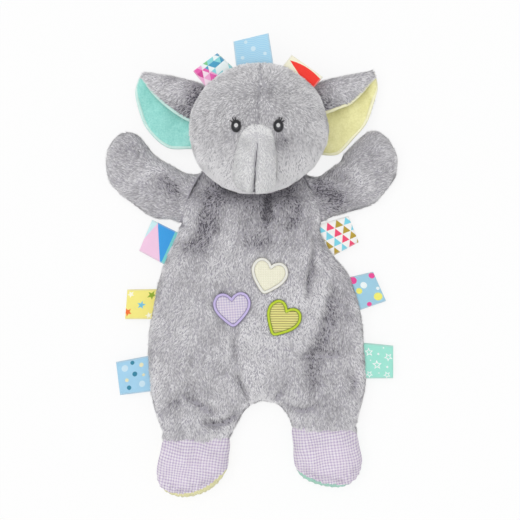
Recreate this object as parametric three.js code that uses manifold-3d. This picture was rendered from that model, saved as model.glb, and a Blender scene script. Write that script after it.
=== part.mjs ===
// A flat-bodied plush elephant comforter lying on its back, in millimetres.
// +Z is up, towards the viewer of the face, and +Y points to the top of the head.
// Left and right are the viewer's left and right. The origin is on the surface
// that the toy lies on, under the middle of the torso.
import * as THREE from 'three';
import { mergeVertices } from 'three/addons/utils/BufferGeometryUtils.js';
import Module from 'manifold-3d';

const wasm = await Module();
wasm.setup();

// Cloth, seams and clearances
const PLUSH = 2.0;
const LINING = 1.2;
const SEAM_ROLL = 1.5;
const GAP = 0.3;
const TAG_GAP = 0.6;
const SEAM_HEIGHT = 7.0;
const FILLING_SHARE = 0.94;

// Torso
const NECK_Y = 59.5;
const NECK_HALF_WIDTH = 21.0;
const SHOULDER_Y = 56.5;
const SHOULDER_HALF_WIDTH = 39.7;
const UNDERARM_Y = 26.2;
const UNDERARM_HALF_WIDTH = 48.6;
const WIDEST_Y = -73.0;
const WIDEST_HALF_WIDTH = 76.0;
const HIP_Y = -97.5;
const HIP_HALF_WIDTH = 74.0;
const CROTCH_X = 4.5;
const CROTCH_HALF_WIDTH = 5.5;
const CROTCH_DROP = 2.0;
const SHOULDER_LEAN = -2.2;
const TORSO_RISE = 13.0;
const TORSO_CORE_HALF_WIDTH = 14.0;
const TORSO_CORE_TOP = -10.0;
const TORSO_CORE_BOTTOM = -58.0;

// Arms, in a frame whose X axis leaves the shoulder seam at a right angle
const ARM_BEND = 30.0;
const PAW_X = 46.0;
const PAW_Y = 14.0;
const PAW_RADIUS = 21.5;
const ARM_RISE = 11.0;

// Legs and feet
const LEFT_LEG_LENGTH = 28.0;
const RIGHT_LEG_LENGTH = 20.5;
const LEFT_ANKLE_X = -40.8;
const RIGHT_ANKLE_X = 48.6;
const ANKLE_HALF_WIDTH = 22.0;
const LEG_RISE = 11.0;
const FOOT_LENGTH = 40.0;
const FOOT_HALF_WIDTH = 24.5;
const FOOT_RISE = 15.0;
const FOOT_TURN = 7.0;
const FOOT_SQUARENESS = 0.8;

// Head
const HEAD_X = 2.7;
const HEAD_HALF_WIDTH = 47.3;
const HEAD_HALF_HEIGHT = 44.5;
const HEAD_SEAM_HEIGHT = 34.0;
const HEAD_RISE = 36.0;
const HEAD_BACK_FLAT = 0.2;

// Trunk, measured from the middle of the head
const TRUNK_TOP_Y = 1.0;
const TRUNK_ROOT_RADIUS = 9.0;
const TRUNK_TIP_RADIUS = 14.0;
const TRUNK_TIP_ROUNDNESS = 0.7;
const TRUNK_REACH = 32.0;
const TRUNK_BEND = 14.0;
const TRUNK_DEPTH = 15.0;
const TRUNK_LIFT = 13.0;
const TRUNK_TIP_LIFT = 2.0;

// Ears, measured from the middle of the head
const EAR_LENGTH = 38.0;
const EAR_TOP_Y = 28.5;
const EAR_TOP_RISE = 9.5;
const EAR_TIP_WIDTH = 4.0;
const LEFT_EAR_LOBE_Y = -16.0;
const RIGHT_EAR_LOBE_Y = -12.0;
const LEFT_EAR_FULLNESS = 5.5;
const RIGHT_EAR_FULLNESS = 4.0;
const EAR_FLAP_Y = 8.0;
const EAR_ROOT_HEIGHT = 20.0;
const EAR_DROOP = 8.0;
const EAR_LOBE_DROP = 9.0;
const EAR_FOLD_RADIUS = 2.4;
const EAR_FOLD_OPENING = 4.0;
const EAR_ROOT_CLEARANCE = 0.3;
const EAR_SWING_CLEARANCE = 2.0;
const EAR_FORWARD_SWING = 20.0;
const EAR_BACK_SWING = 12.0;

// Eyes, measured from the middle of the head
const EYE_TRUNK_GAP = 1.8;
const EYE_Y = -1.2;
const EYE_WIDTH = 6.6;
const EYE_HEIGHT = 8.4;
const EYE_THICKNESS = 0.9;
const GLINT_DIAMETER = 2.6;
const GLINT_THICKNESS = 0.6;

// Heart patches
const HEARTS_X = 4.0;
const HEARTS_Y = -29.0;
const HEART_SIZE = 25.0;
const HEART_SPACE = 8.0;
const HEART_THICKNESS = 1.0;
const HEART_BORDER_WIDTH = 2.0;
const HEART_BORDER_THICKNESS = 1.6;

// Ribbon tags
const WIDE_RIBBON = 24.0;
const NARROW_RIBBON = 21.5;
const RIBBON_THICKNESS = 0.6;
const RIBBON_SLIT = 0.5;
const TAG_ARM_CLEARANCE = 2.2;

// Colours
const GREY = 0xacabb0;
const LIGHT_GREY = 0xc6c6c9;
const WHITE = 0xf4f2ee;
const MINT = 0x7ed6c4;
const YELLOW = 0xe2e096;
const GINGHAM = 0xcdc0e0;
const CHARCOAL = 0x3e3e42;

const radians = THREE.MathUtils.degToRad;
const clamp = THREE.MathUtils.clamp;
const lerp = THREE.MathUtils.lerp;
const flat = (x, y) => new THREE.Vector2(x, y);

// Evenly spaced numbers from first to last
function spread(first, last, count) {
  return Array.from({ length: count }, (_, i) => lerp(first, last, i / (count - 1)));
}

function named(name, geometry, color, roughness = 0.95) {
  const material = new THREE.MeshStandardMaterial({ color, roughness, metalness: 0 });
  const mesh = new THREE.Mesh(geometry, material);
  mesh.name = name;
  return mesh;
}

function geometryFrom(points, index) {
  const geometry = new THREE.BufferGeometry();
  const positions = points.flatMap((p) => [p.x, p.y, p.z]);
  geometry.setAttribute('position', new THREE.Float32BufferAttribute(positions, 3));
  geometry.setIndex(index);
  return geometry;
}

// A closed body from rings of points, given from its top cap over its edge to its bottom cap
function bodyFromRings(rings) {
  const count = rings[0].length;
  const index = [];
  for (let r = 0; r + 1 < rings.length; r += 1) {
    for (let i = 0; i < count; i += 1) {
      const a = r * count + i;
      const b = r * count + ((i + 1) % count);
      index.push(a, a + count, b + count, a, b + count, b);
    }
  }
  const base = (rings.length - 1) * count;
  const top = THREE.ShapeUtils.triangulateShape(rings[0].map((p) => flat(p.x, p.y)), []);
  const bottom = THREE.ShapeUtils.triangulateShape(rings.at(-1).map((p) => flat(p.x, p.y)), []);
  top.forEach(([a, b, c]) => index.push(a, b, c));
  bottom.forEach(([a, b, c]) => index.push(base + a, base + c, base + b));
  return geometryFrom(rings.flat(), index);
}

function toSolid(geometry) {
  const bare = geometry.clone();
  bare.deleteAttribute('normal');
  bare.deleteAttribute('uv');
  const merged = mergeVertices(bare, 1e-4);
  const vertProperties = new Float32Array(merged.attributes.position.array);
  const triVerts = new Uint32Array(merged.index.array);
  return new wasm.Manifold(new wasm.Mesh({ numProp: 3, vertProperties, triVerts }));
}

function toGeometry(solid) {
  const mesh = solid.getMesh();
  const geometry = new THREE.BufferGeometry();
  geometry.setAttribute('position', new THREE.BufferAttribute(mesh.vertProperties, 3));
  geometry.setIndex(new THREE.BufferAttribute(mesh.triVerts, 1));
  return geometry;
}

// The part of a solid on one side of the plane x = 0, half a seam gap away from it
function halfOf(solid, side) {
  const size = 4 * (HEAD_HALF_WIDTH + HEAD_HALF_HEIGHT);
  const box = new THREE.BoxGeometry(size, size, size);
  box.translate((side * (size + GAP)) / 2, 0, 0);
  return solid.intersect(toSolid(box));
}

// How much of the full height cloth keeps at a share of the way from the core to the edge
function dome(share, flatShare, power) {
  const t = Math.max(0, (share - flatShare) / (1 - flatShare));
  return (1 - t * t) ** power;
}

// Rings of a stuffed cushion: points of its outline move towards their core points
function ringAtShare(outline, share, z) {
  return outline.map(({ edge, core }) => {
    const p = core.clone().lerp(edge, share);
    return new THREE.Vector3(p.x, p.y, z);
  });
}

function ringAtInset(outline, inset, z) {
  return outline.map(({ edge, core }) => {
    const step = core.clone().sub(edge).setLength(inset);
    return new THREE.Vector3(edge.x + step.x, edge.y + step.y, z);
  });
}

// One cloth panel of a cushion, from its seam at z = 0 up to its crown
function panel(outline, { rise, shares, flatShare, power }) {
  const seam = GAP / 2;
  const outer = shares.map((s) => SEAM_ROLL + (rise - SEAM_ROLL) * dome(s, flatShare, power));
  const inner = outer.map((z) => Math.max(seam, z - PLUSH));
  return bodyFromRings([
    ...shares.map((s, i) => ringAtShare(outline, s, outer[i])),
    ringAtInset(outline, SEAM_ROLL, SEAM_ROLL),
    ringAtInset(outline, 0, seam),
    ringAtInset(outline, SEAM_ROLL, seam),
    ...shares.map((s, i) => ringAtShare(outline, s, inner[i])).reverse(),
  ]);
}

// The loose filling between two panels
function filling(outline, front, back) {
  const top = ({ rise, flatShare, power }, s) =>
    SEAM_ROLL + (rise - SEAM_ROLL) * dome(s, flatShare, power) - PLUSH - GAP;
  return bodyFromRings([
    ...front.shares.map((s) => ringAtShare(outline, s * FILLING_SHARE, top(front, s))),
    ...back.shares.map((s) => ringAtShare(outline, s * FILLING_SHARE, -top(back, s))).reverse(),
  ]);
}

function flipped(geometry) {
  const turned = geometry.clone();
  turned.scale(1, 1, -1);
  const index = turned.index.array;
  for (let i = 0; i < index.length; i += 3) {
    [index[i], index[i + 1]] = [index[i + 1], index[i]];
  }
  return turned;
}

// A front panel, a back panel and the filling of a cushion, as three meshes in a group
function cushion(names, colors, outline, front, back) {
  const group = new THREE.Group();
  group.add(named(names[0], panel(outline, front), colors[0]));
  group.add(named(names[1], flipped(panel(outline, back)), colors[1]));
  group.add(named(names[2], filling(outline, front, back), WHITE));
  return group;
}

// A thin patch that follows a surface, from lift above it to lift plus thickness
function patch(outline, surface, lift, thickness) {
  const shares = [0.15, 0.6, 1];
  const at = (share, extra) =>
    ringAtShare(outline, share, 0).map((p) => p.setZ(surface(p.x, p.y) + lift + extra));
  return bodyFromRings([
    ...shares.map((s) => at(s, thickness)),
    ...shares.map((s) => at(s, 0)).reverse(),
  ]);
}

// A raised border round a patch, between an outline and the same outline drawn in by its width
function border(outline, width, surface, lift, thickness) {
  const on = (ring, extra) => ring.map((p) => p.setZ(surface(p.x, p.y) + lift + extra));
  const rings = [
    on(ringAtInset(outline, 0, 0), 0),
    on(ringAtInset(outline, width, 0), 0),
    on(ringAtInset(outline, width, 0), thickness / 2),
    on(ringAtInset(outline, width / 2, 0), thickness),
    on(ringAtInset(outline, 0, 0), thickness / 2),
  ];
  const count = outline.length;
  const index = [];
  rings.forEach((_, r) => {
    const next = (r + 1) % rings.length;
    for (let i = 0; i < count; i += 1) {
      const j = (i + 1) % count;
      const [a, b, c, d] = [r * count + i, r * count + j, next * count + i, next * count + j];
      index.push(a, d, b, a, c, d);
    }
  });
  return geometryFrom(rings.flat(), index);
}

// Torso
const torsoFront = { rise: TORSO_RISE, shares: [0.15, 0.5, 0.85], flatShare: 0, power: 1 };
const torsoBack = { rise: SEAM_HEIGHT, shares: [0.5, 0.8], flatShare: 0.5, power: 0.6 };

function torsoCentre(y) {
  return SHOULDER_LEAN * clamp((y - WIDEST_Y) / (UNDERARM_Y - WIDEST_Y), 0, 1);
}

function torsoHalfWidth(y) {
  if (y < WIDEST_Y) {
    return lerp(WIDEST_HALF_WIDTH, HIP_HALF_WIDTH, ((y - WIDEST_Y) / (HIP_Y - WIDEST_Y)) ** 2);
  }
  const t = (UNDERARM_Y - y) / (UNDERARM_Y - WIDEST_Y);
  return lerp(UNDERARM_HALF_WIDTH, WIDEST_HALF_WIDTH, Math.sin((t * Math.PI) / 2));
}

function torsoTop(x, y) {
  const across = Math.abs(x - torsoCentre(y)) - TORSO_CORE_HALF_WIDTH;
  const share = Math.max(0, across) / (torsoHalfWidth(y) - TORSO_CORE_HALF_WIDTH);
  const above = clamp((y - TORSO_CORE_TOP) / (NECK_Y - TORSO_CORE_TOP), 0, 1);
  const height = dome(Math.max(share, above), torsoFront.flatShare, torsoFront.power);
  return SEAM_HEIGHT + SEAM_ROLL + (TORSO_RISE - SEAM_ROLL) * height;
}

function torsoOutline() {
  const side = (sign) => [
    ...spread(HIP_Y, UNDERARM_Y, 8).map((y) => flat(torsoCentre(y) + sign * torsoHalfWidth(y), y)),
    ...spread(0, 1, 3).slice(1).map((t) => flat(
      SHOULDER_LEAN + sign * lerp(UNDERARM_HALF_WIDTH, SHOULDER_HALF_WIDTH, t),
      lerp(UNDERARM_Y, SHOULDER_Y, t),
    )),
    ...spread(NECK_HALF_WIDTH, 0, 3).slice(0, 2).map((x) => flat(HEAD_X + sign * x, NECK_Y)),
  ];
  const crotch = spread(0, Math.PI, 5).map((angle) => flat(
    CROTCH_X - CROTCH_HALF_WIDTH * Math.cos(angle),
    HIP_Y - CROTCH_DROP * Math.sin(angle),
  ));
  const hipEdge = (from, to) => spread(from, to, 5).slice(1, 4).map((x) => flat(x, HIP_Y));
  const edges = [
    ...side(1),
    ...side(-1).reverse(),
    ...hipEdge(-HIP_HALF_WIDTH, CROTCH_X - CROTCH_HALF_WIDTH),
    ...crotch,
    ...hipEdge(CROTCH_X + CROTCH_HALF_WIDTH, HIP_HALF_WIDTH),
  ];
  return edges.map((edge) => {
    const coreY = clamp(edge.y, TORSO_CORE_BOTTOM, TORSO_CORE_TOP);
    const middle = torsoCentre(coreY);
    const reach = TORSO_CORE_HALF_WIDTH;
    return { edge, core: flat(middle + clamp(edge.x - middle, -reach, reach), coreY) };
  });
}

function makeTorso() {
  const group = cushion(
    ['torso_front_panel', 'torso_back_panel', 'torso_filling'],
    [GREY, GREY],
    torsoOutline(),
    torsoFront,
    torsoBack,
  );
  group.position.z = SEAM_HEIGHT;
  return group;
}

// Arms
const limbFront = (rise) => ({ rise, shares: [0.25, 0.7], flatShare: 0, power: 0.75 });
const limbBack = { rise: SEAM_HEIGHT, shares: [0.5, 0.8], flatShare: 0.5, power: 0.6 };
const shoulderLength = Math.hypot(
  UNDERARM_HALF_WIDTH - SHOULDER_HALF_WIDTH,
  SHOULDER_Y - UNDERARM_Y,
);
const shoulderTilt = Math.atan2(UNDERARM_HALF_WIDTH - SHOULDER_HALF_WIDTH, SHOULDER_Y - UNDERARM_Y);

function armOutline() {
  const spine = new THREE.QuadraticBezierCurve(flat(0, 0), flat(ARM_BEND, 0), flat(PAW_X, PAW_Y));
  const half = shoulderLength / 2;
  const coreStart = 0.35;
  const sidePoint = (t, sign) => {
    const middle = spine.getPoint(t);
    const tangent = spine.getTangent(t);
    const reach = lerp(half, PAW_RADIUS, Math.sin((t * Math.PI) / 2));
    const edge = flat(middle.x - sign * tangent.y * reach, middle.y + sign * tangent.x * reach);
    return { edge, core: spine.getPoint(Math.max(t, coreStart)) };
  };
  const end = spine.getPoint(1);
  const heading = spine.getTangent(1).angle();
  const cap = spread(-90, 90, 9).slice(1, 8).map((turn) => {
    const angle = heading + radians(turn);
    const reach = flat(Math.cos(angle), Math.sin(angle)).multiplyScalar(PAW_RADIUS);
    return { edge: end.clone().add(reach), core: end };
  });
  const root = spread(half, -half, 5).map((y) => ({
    edge: flat(-SEAM_ROLL, y),
    core: spine.getPoint(coreStart),
  }));
  const along = spread(0, 1, 6).slice(1);
  return [
    ...along.map((t) => sidePoint(t, -1)),
    ...cap,
    ...along.toReversed().map((t) => sidePoint(t, 1)),
    ...root,
  ];
}

function makeArm(name, side) {
  const group = cushion(
    [`${name}_front_panel`, `${name}_back_panel`, `${name}_filling`],
    [GREY, GREY],
    armOutline(),
    limbFront(ARM_RISE),
    limbBack,
  );
  const away = GAP + SEAM_ROLL;
  const middle = (UNDERARM_HALF_WIDTH + SHOULDER_HALF_WIDTH) / 2;
  group.position.set(
    SHOULDER_LEAN + side * (middle + away * Math.cos(shoulderTilt)),
    (UNDERARM_Y + SHOULDER_Y) / 2 + away * Math.sin(shoulderTilt),
    SEAM_HEIGHT,
  );
  group.rotation.z = side * shoulderTilt;
  group.scale.x = side;
  group.name = name;
  return group;
}

// Legs and feet, in frames whose origin is the middle of the seam that they hang from
function legOutline(hipHalf, ankleShift, length) {
  const root = spread(hipHalf, -hipHalf, 7).map((x) => flat(x, SEAM_ROLL));
  const low = SEAM_ROLL - length;
  const ankle = spread(-ANKLE_HALF_WIDTH, ANKLE_HALF_WIDTH, 5).map((x) => flat(ankleShift + x, low));
  const sidePoints = (sign) => [0.35, 0.7].map((t) => flat(
    lerp(sign * hipHalf, ankleShift + sign * ANKLE_HALF_WIDTH, t),
    lerp(SEAM_ROLL, low, t),
  ));
  const edges = [...root, ...sidePoints(-1), ...ankle, ...sidePoints(1).reverse()];
  const coreHalf = ANKLE_HALF_WIDTH / 2;
  const coreY = (SEAM_ROLL + low) / 2;
  return edges.map((edge) => ({ edge, core: flat(clamp(edge.x, -coreHalf, coreHalf), coreY) }));
}

// A foot's toe end leans outwards by its turn
function footOutline(side) {
  const middleY = SEAM_ROLL - FOOT_LENGTH / 2;
  const root = spread(ANKLE_HALF_WIDTH, -ANKLE_HALF_WIDTH, 5).map((x) => flat(x, SEAM_ROLL));
  const round = spread(-165, -15, 11).map((turn) => {
    const depth = Math.abs(Math.sin(radians(turn))) ** FOOT_SQUARENESS;
    const y = middleY - (FOOT_LENGTH / 2) * depth;
    const lean = side * Math.tan(radians(FOOT_TURN)) * (SEAM_ROLL - y);
    return flat(FOOT_HALF_WIDTH * Math.cos(radians(turn)) + lean, y);
  });
  const coreHalf = ANKLE_HALF_WIDTH / 2;
  return [...root, ...round].map((edge) => ({
    edge,
    core: flat(clamp(edge.x, -coreHalf, coreHalf), middleY),
  }));
}

function makeLeg(name, side, length, ankleX, soleColor) {
  const innerX = CROTCH_X + side * (CROTCH_HALF_WIDTH + GAP);
  const outerX = side * (HIP_HALF_WIDTH - SEAM_ROLL);
  const hipX = (innerX + outerX) / 2;
  const leg = cushion(
    [`${name}_leg_front_panel`, `${name}_leg_back_panel`, `${name}_leg_filling`],
    [GREY, GREY],
    legOutline(Math.abs(outerX - innerX) / 2, ankleX - hipX, length),
    limbFront(LEG_RISE),
    limbBack,
  );
  leg.position.set(hipX, HIP_Y - GAP - SEAM_ROLL, SEAM_HEIGHT);
  leg.name = `${name}_leg`;
  const foot = cushion(
    [`${name}_foot_upper`, `${name}_foot_sole`, `${name}_foot_filling`],
    [GINGHAM, soleColor],
    footOutline(side),
    limbFront(FOOT_RISE),
    limbBack,
  );
  foot.position.set(ankleX - hipX, SEAM_ROLL - length - GAP - SEAM_ROLL, 0);
  foot.name = `${name}_foot`;
  leg.add(foot);
  return leg;
}

// Head, in a frame whose origin is the middle of its side seam
const headFront = { rise: HEAD_RISE, shares: [0.2, 0.55, 0.85], flatShare: 0, power: 0.55 };
const headBack = {
  rise: HEAD_SEAM_HEIGHT, shares: [0.2, 0.55, 0.85], flatShare: HEAD_BACK_FLAT, power: 0.55,
};

function headOutline(extra = 0) {
  return spread(0, 2 * Math.PI, 31).slice(0, 30).map((angle) => ({
    edge: flat(
      (HEAD_HALF_WIDTH + extra) * Math.cos(angle),
      (HEAD_HALF_HEIGHT + extra) * Math.sin(angle),
    ),
    core: flat(0, 0),
  }));
}

function faceHeight(x, y) {
  const share = Math.hypot(x / HEAD_HALF_WIDTH, y / HEAD_HALF_HEIGHT);
  return SEAM_ROLL + (HEAD_RISE - SEAM_ROLL) * dome(share, headFront.flatShare, headFront.power);
}

// Rings of the head's back, each with its share of the half width and its height
const headRings = [
  ...headBack.shares.map((share) => ({
    share,
    height: (HEAD_SEAM_HEIGHT - SEAM_ROLL) * (1 - dome(share, HEAD_BACK_FLAT, headBack.power)),
  })),
  { share: 1 - SEAM_ROLL / HEAD_HALF_WIDTH, height: HEAD_SEAM_HEIGHT - SEAM_ROLL },
];

function headFacetAt(height) {
  const above = headRings.findIndex((ring) => ring.height >= height);
  return [headRings[above - 1], headRings[above]];
}

// The share of its half width that the head's back has at a height
function headShareAt(height) {
  const [low, high] = headFacetAt(height);
  return lerp(low.share, high.share, (height - low.height) / (high.height - low.height));
}

// The head sits where the slope of its back clears the rolled neck seam
function headPlace() {
  const [low, high] = headFacetAt(SEAM_HEIGHT);
  const slope = (HEAD_HALF_HEIGHT * (high.share - low.share)) / (high.height - low.height);
  const away = (SEAM_ROLL + GAP) * Math.hypot(1, slope);
  return NECK_Y - SEAM_ROLL + away + HEAD_HALF_HEIGHT * headShareAt(SEAM_HEIGHT);
}

const headY = headPlace();

// The head's outer form as one body, grown by a clearance, to cut the trunk to the face
function headForm(extra) {
  const outline = headOutline(extra);
  const height = ({ rise, flatShare, power }, s) =>
    SEAM_ROLL + (rise - SEAM_ROLL) * dome(s, flatShare, power) + extra;
  return toSolid(bodyFromRings([
    ...headFront.shares.map((s) => ringAtShare(outline, s, height(headFront, s))),
    ringAtInset(outline, SEAM_ROLL, SEAM_ROLL + extra),
    ringAtInset(outline, 0, 0),
    ringAtInset(outline, SEAM_ROLL, -SEAM_ROLL - extra),
    ...headBack.shares.map((s) => ringAtShare(outline, s, -height(headBack, s))).reverse(),
  ]));
}

// Trunk: a tube that leaves the face between the eyes and droops over the chin
function trunkForm(shrink) {
  const root = new THREE.Vector3(0, TRUNK_TOP_Y - TRUNK_ROOT_RADIUS / 2, HEAD_RISE - TRUNK_DEPTH);
  const bend = new THREE.Vector3(0, root.y - TRUNK_BEND, HEAD_RISE + TRUNK_LIFT);
  const tip = new THREE.Vector3(0, root.y - TRUNK_REACH, HEAD_RISE + TRUNK_TIP_LIFT);
  const spine = new THREE.QuadraticBezierCurve3(root, bend, tip);
  const sides = 14;
  const stations = [0, 0.3, 0.55, 0.8, 1];
  const ring = (middle, tangent, radius) => {
    const up = new THREE.Vector3(1, 0, 0).cross(tangent).negate();
    return spread(0, 2 * Math.PI, sides + 1).slice(0, sides).map((angle) => middle.clone()
      .addScaledVector(new THREE.Vector3(1, 0, 0), radius * Math.cos(angle))
      .addScaledVector(up, radius * Math.sin(angle)));
  };
  const radiusAt = (t) => lerp(TRUNK_ROOT_RADIUS, TRUNK_TIP_RADIUS, t) - shrink;
  const rings = stations.map((t) => ring(spine.getPoint(t), spine.getTangent(t), radiusAt(t)));
  const endTangent = spine.getTangent(1);
  for (const turn of [35, 65]) {
    const middle = tip.clone().addScaledVector(
      endTangent,
      radiusAt(1) * TRUNK_TIP_ROUNDNESS * Math.sin(radians(turn)),
    );
    rings.push(ring(middle, endTangent, radiusAt(1) * Math.cos(radians(turn))));
  }
  const points = rings.flat();
  const index = [];
  for (let r = 0; r + 1 < rings.length; r += 1) {
    for (let i = 0; i < sides; i += 1) {
      const a = r * sides + i;
      const b = r * sides + ((i + 1) % sides);
      index.push(a, b, b + sides, a, b + sides, a + sides);
    }
  }
  const last = (rings.length - 1) * sides;
  for (let i = 1; i + 1 < sides; i += 1) {
    index.push(0, i + 1, i);
    index.push(last, last + i, last + i + 1);
  }
  return toSolid(geometryFrom(points, index));
}

function makeTrunk() {
  const group = new THREE.Group();
  const face = headForm(GAP);
  const cover = trunkForm(0).subtract(trunkForm(PLUSH)).subtract(face);
  group.add(named('trunk_left_panel', toGeometry(halfOf(cover, -1)), LIGHT_GREY));
  group.add(named('trunk_right_panel', toGeometry(halfOf(cover, 1)), LIGHT_GREY));
  group.add(named('trunk_filling', toGeometry(trunkForm(PLUSH + 2 * GAP).subtract(face)), WHITE));
  group.position.set(0, TRUNK_TOP_Y, faceHeight(0, TRUNK_TOP_Y));
  group.children.forEach((mesh) => mesh.position.copy(group.position).negate());
  group.name = 'trunk';
  return group;
}

// Ears: a plush back and a smooth lining, whose upper edge folds over to the front
const earHinge = HEAD_HALF_WIDTH * headShareAt(EAR_ROOT_HEIGHT) + EAR_ROOT_CLEARANCE;

// The ear's root follows the head and clears it when the ear swings forward or back
function earRootX(y, height) {
  const above = height - EAR_ROOT_HEIGHT;
  const share = headShareAt(Math.min(height, HEAD_SEAM_HEIGHT - SEAM_ROLL));
  const x = HEAD_HALF_WIDTH * Math.sqrt(Math.max(0, share ** 2 - (y / HEAD_HALF_HEIGHT) ** 2));
  const inward = clamp((earHinge - x) / earHinge, 0, 1);
  const clearance = EAR_ROOT_CLEARANCE + EAR_SWING_CLEARANCE * Math.sqrt(inward);
  const swing = above > 0 ? EAR_FORWARD_SWING : EAR_BACK_SWING;
  return x + clearance + Math.abs(above) * Math.tan(radians(swing));
}

// Points of the ear's cross-section at a share of its length, at a distance behind its middle sheet
function earSection({ lobeY, fullness }, share, behind) {
  const crease = EAR_TOP_Y + EAR_TOP_RISE * share;
  const lobe = lerp(lobeY, crease - EAR_TIP_WIDTH, share ** fullness);
  const flap = lerp(EAR_FLAP_Y, crease - EAR_TIP_WIDTH, share);
  const radius = EAR_FOLD_RADIUS + EAR_FOLD_OPENING * Math.sin(Math.PI * share);
  const heightAt = (y) => EAR_ROOT_HEIGHT - EAR_DROOP * share
    - EAR_LOBE_DROP * ((crease - y) / (EAR_TOP_Y - lobeY));
  const foldY = Math.max(crease - radius, lobe);
  const section = [];
  spread(lobe, foldY, 6).forEach((y) => section.push([y, heightAt(y) - behind]));
  const foldHeight = heightAt(foldY);
  spread(-90, 90, 5).slice(1).forEach((turn) => section.push([
    foldY + (radius + behind) * Math.cos(radians(turn)),
    foldHeight + radius + (radius + behind) * Math.sin(radians(turn)),
  ]));
  const top = foldHeight + 2 * radius + behind;
  spread(foldY, flap, 4).slice(1).forEach((y) => section.push([y, top]));
  return section.map(([y, height]) => new THREE.Vector3(
    lerp(earRootX(y, height) - earHinge, EAR_LENGTH, share),
    y,
    height - EAR_ROOT_HEIGHT,
  ));
}

function earLayer(form, inside, outside) {
  const shares = [0, 0.2, 0.45, 0.7, 0.9, 1];
  const rings = shares.map((s) => [
    ...earSection(form, s, outside),
    ...earSection(form, s, inside).reverse(),
  ]);
  const count = rings[0].length;
  const index = [];
  for (let r = 0; r + 1 < rings.length; r += 1) {
    for (let i = 0; i < count; i += 1) {
      const a = r * count + i;
      const b = r * count + ((i + 1) % count);
      index.push(a, b, b + count, a, b + count, a + count);
    }
  }
  const last = (rings.length - 1) * count;
  for (let i = 0; i + 1 < count / 2; i += 1) {
    const [a, b, c, d] = [i, i + 1, count - 2 - i, count - 1 - i];
    index.push(a, c, b, a, d, c);
    index.push(last + a, last + b, last + c, last + a, last + c, last + d);
  }
  return geometryFrom(rings.flat(), index);
}

const LEFT_EAR = { lobeY: LEFT_EAR_LOBE_Y, fullness: LEFT_EAR_FULLNESS };
const RIGHT_EAR = { lobeY: RIGHT_EAR_LOBE_Y, fullness: RIGHT_EAR_FULLNESS };

function makeEar(name, side, form, liningColor) {
  const group = new THREE.Group();
  const lining = earLayer(form, -GAP / 2 - LINING, -GAP / 2);
  group.add(named(`${name}_back`, earLayer(form, GAP / 2, GAP / 2 + PLUSH), GREY));
  group.add(named(`${name}_lining`, lining, liningColor));
  group.position.set(side * earHinge, 0, EAR_ROOT_HEIGHT - HEAD_SEAM_HEIGHT);
  group.scale.x = side;
  group.name = name;
  return group;
}

function ellipseOutline(x, y, width, height, count) {
  return spread(0, 2 * Math.PI, count + 1).slice(0, count).map((angle) => ({
    edge: flat(x + (width / 2) * Math.cos(angle), y + (height / 2) * Math.sin(angle)),
    core: flat(x, y),
  }));
}

function makeEye(name, x) {
  const group = new THREE.Group();
  const iris = ellipseOutline(x, EYE_Y, EYE_WIDTH, EYE_HEIGHT, 12);
  const glint = ellipseOutline(x, EYE_Y, GLINT_DIAMETER, GLINT_DIAMETER, 8);
  const glintLift = GAP + EYE_THICKNESS + GAP;
  group.add(named(`${name}_eye`, patch(iris, faceHeight, GAP, EYE_THICKNESS), CHARCOAL, 0.5));
  group.add(named(
    `${name}_eye_glint`,
    patch(glint, faceHeight, glintLift, GLINT_THICKNESS),
    WHITE,
    0.5,
  ));
  return group;
}

// Ribbon tags: a strip folded flat, X along its reach from its hinge, Y along its width
const tagHalf = RIBBON_THICKNESS + RIBBON_SLIT / 2;

function ribbonTag({ name, width, reach, skew, color }) {
  const slit = RIBBON_SLIT / 2;
  const root = -tagHalf;
  const fold = reach - 2 * tagHalf;
  const shape = new THREE.Shape();
  shape.moveTo(root, -tagHalf);
  shape.lineTo(fold, -tagHalf);
  shape.absarc(fold, 0, tagHalf, -Math.PI / 2, Math.PI / 2, false);
  shape.lineTo(root, tagHalf);
  shape.lineTo(root, slit);
  shape.lineTo(fold, slit);
  shape.absarc(fold, 0, slit, Math.PI / 2, -Math.PI / 2, true);
  shape.lineTo(root, -slit);
  shape.closePath();
  const geometry = new THREE.ExtrudeGeometry(shape, {
    depth: width, bevelEnabled: false, curveSegments: 4,
  });
  geometry.translate(0, 0, -width / 2);
  geometry.rotateX(Math.PI / 2);
  const shear = new THREE.Matrix4().makeShear(Math.tan(radians(skew)), 0, 0, 0, 0, 0);
  geometry.applyMatrix4(shear);
  return named(name, geometry, color, 0.4);
}

// Side tags: the share of the side seam that lies above each, its ribbon, reach and lean
const SIDE_TAGS = [
  ['left_upper_tag', -1, 0.046, WIDE_RIBBON, 18, 6, 0x22a0eb],
  ['left_middle_tag', -1, 0.4425, NARROW_RIBBON, 18.5, -11, 0xfcf082],
  ['left_lower_tag', -1, 0.933, WIDE_RIBBON, 21, -4, 0xa5d6f2],
  ['right_upper_tag', 1, 0, WIDE_RIBBON, 16, -13, 0xf5f5f2],
  ['right_middle_tag', 1, 0.349, WIDE_RIBBON, 17, -5, 0xa0d2e8],
  ['right_lower_tag', 1, 0.841, WIDE_RIBBON, 18.5, -7, 0x8ce1c8],
].map(([name, side, share, width, reach, skew, color]) => ({
  name, side, share, width, reach, skew, color,
}));

// Head tags: the angle of each from the top of the head, positive to the right, and its reach
const HEAD_TAGS = [
  ['head_left_tag', -38.5, NARROW_RIBBON, 12.5, 0, 0xf5aad7],
  ['head_top_tag', -3.5, WIDE_RIBBON, 18.6, 4, 0xa5d6f2],
  ['head_right_tag', 41, WIDE_RIBBON, 9, 0, 0xfd2a00],
].map(([name, angle, width, reach, skew, color]) => ({ name, angle, width, reach, skew, color }));

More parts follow.
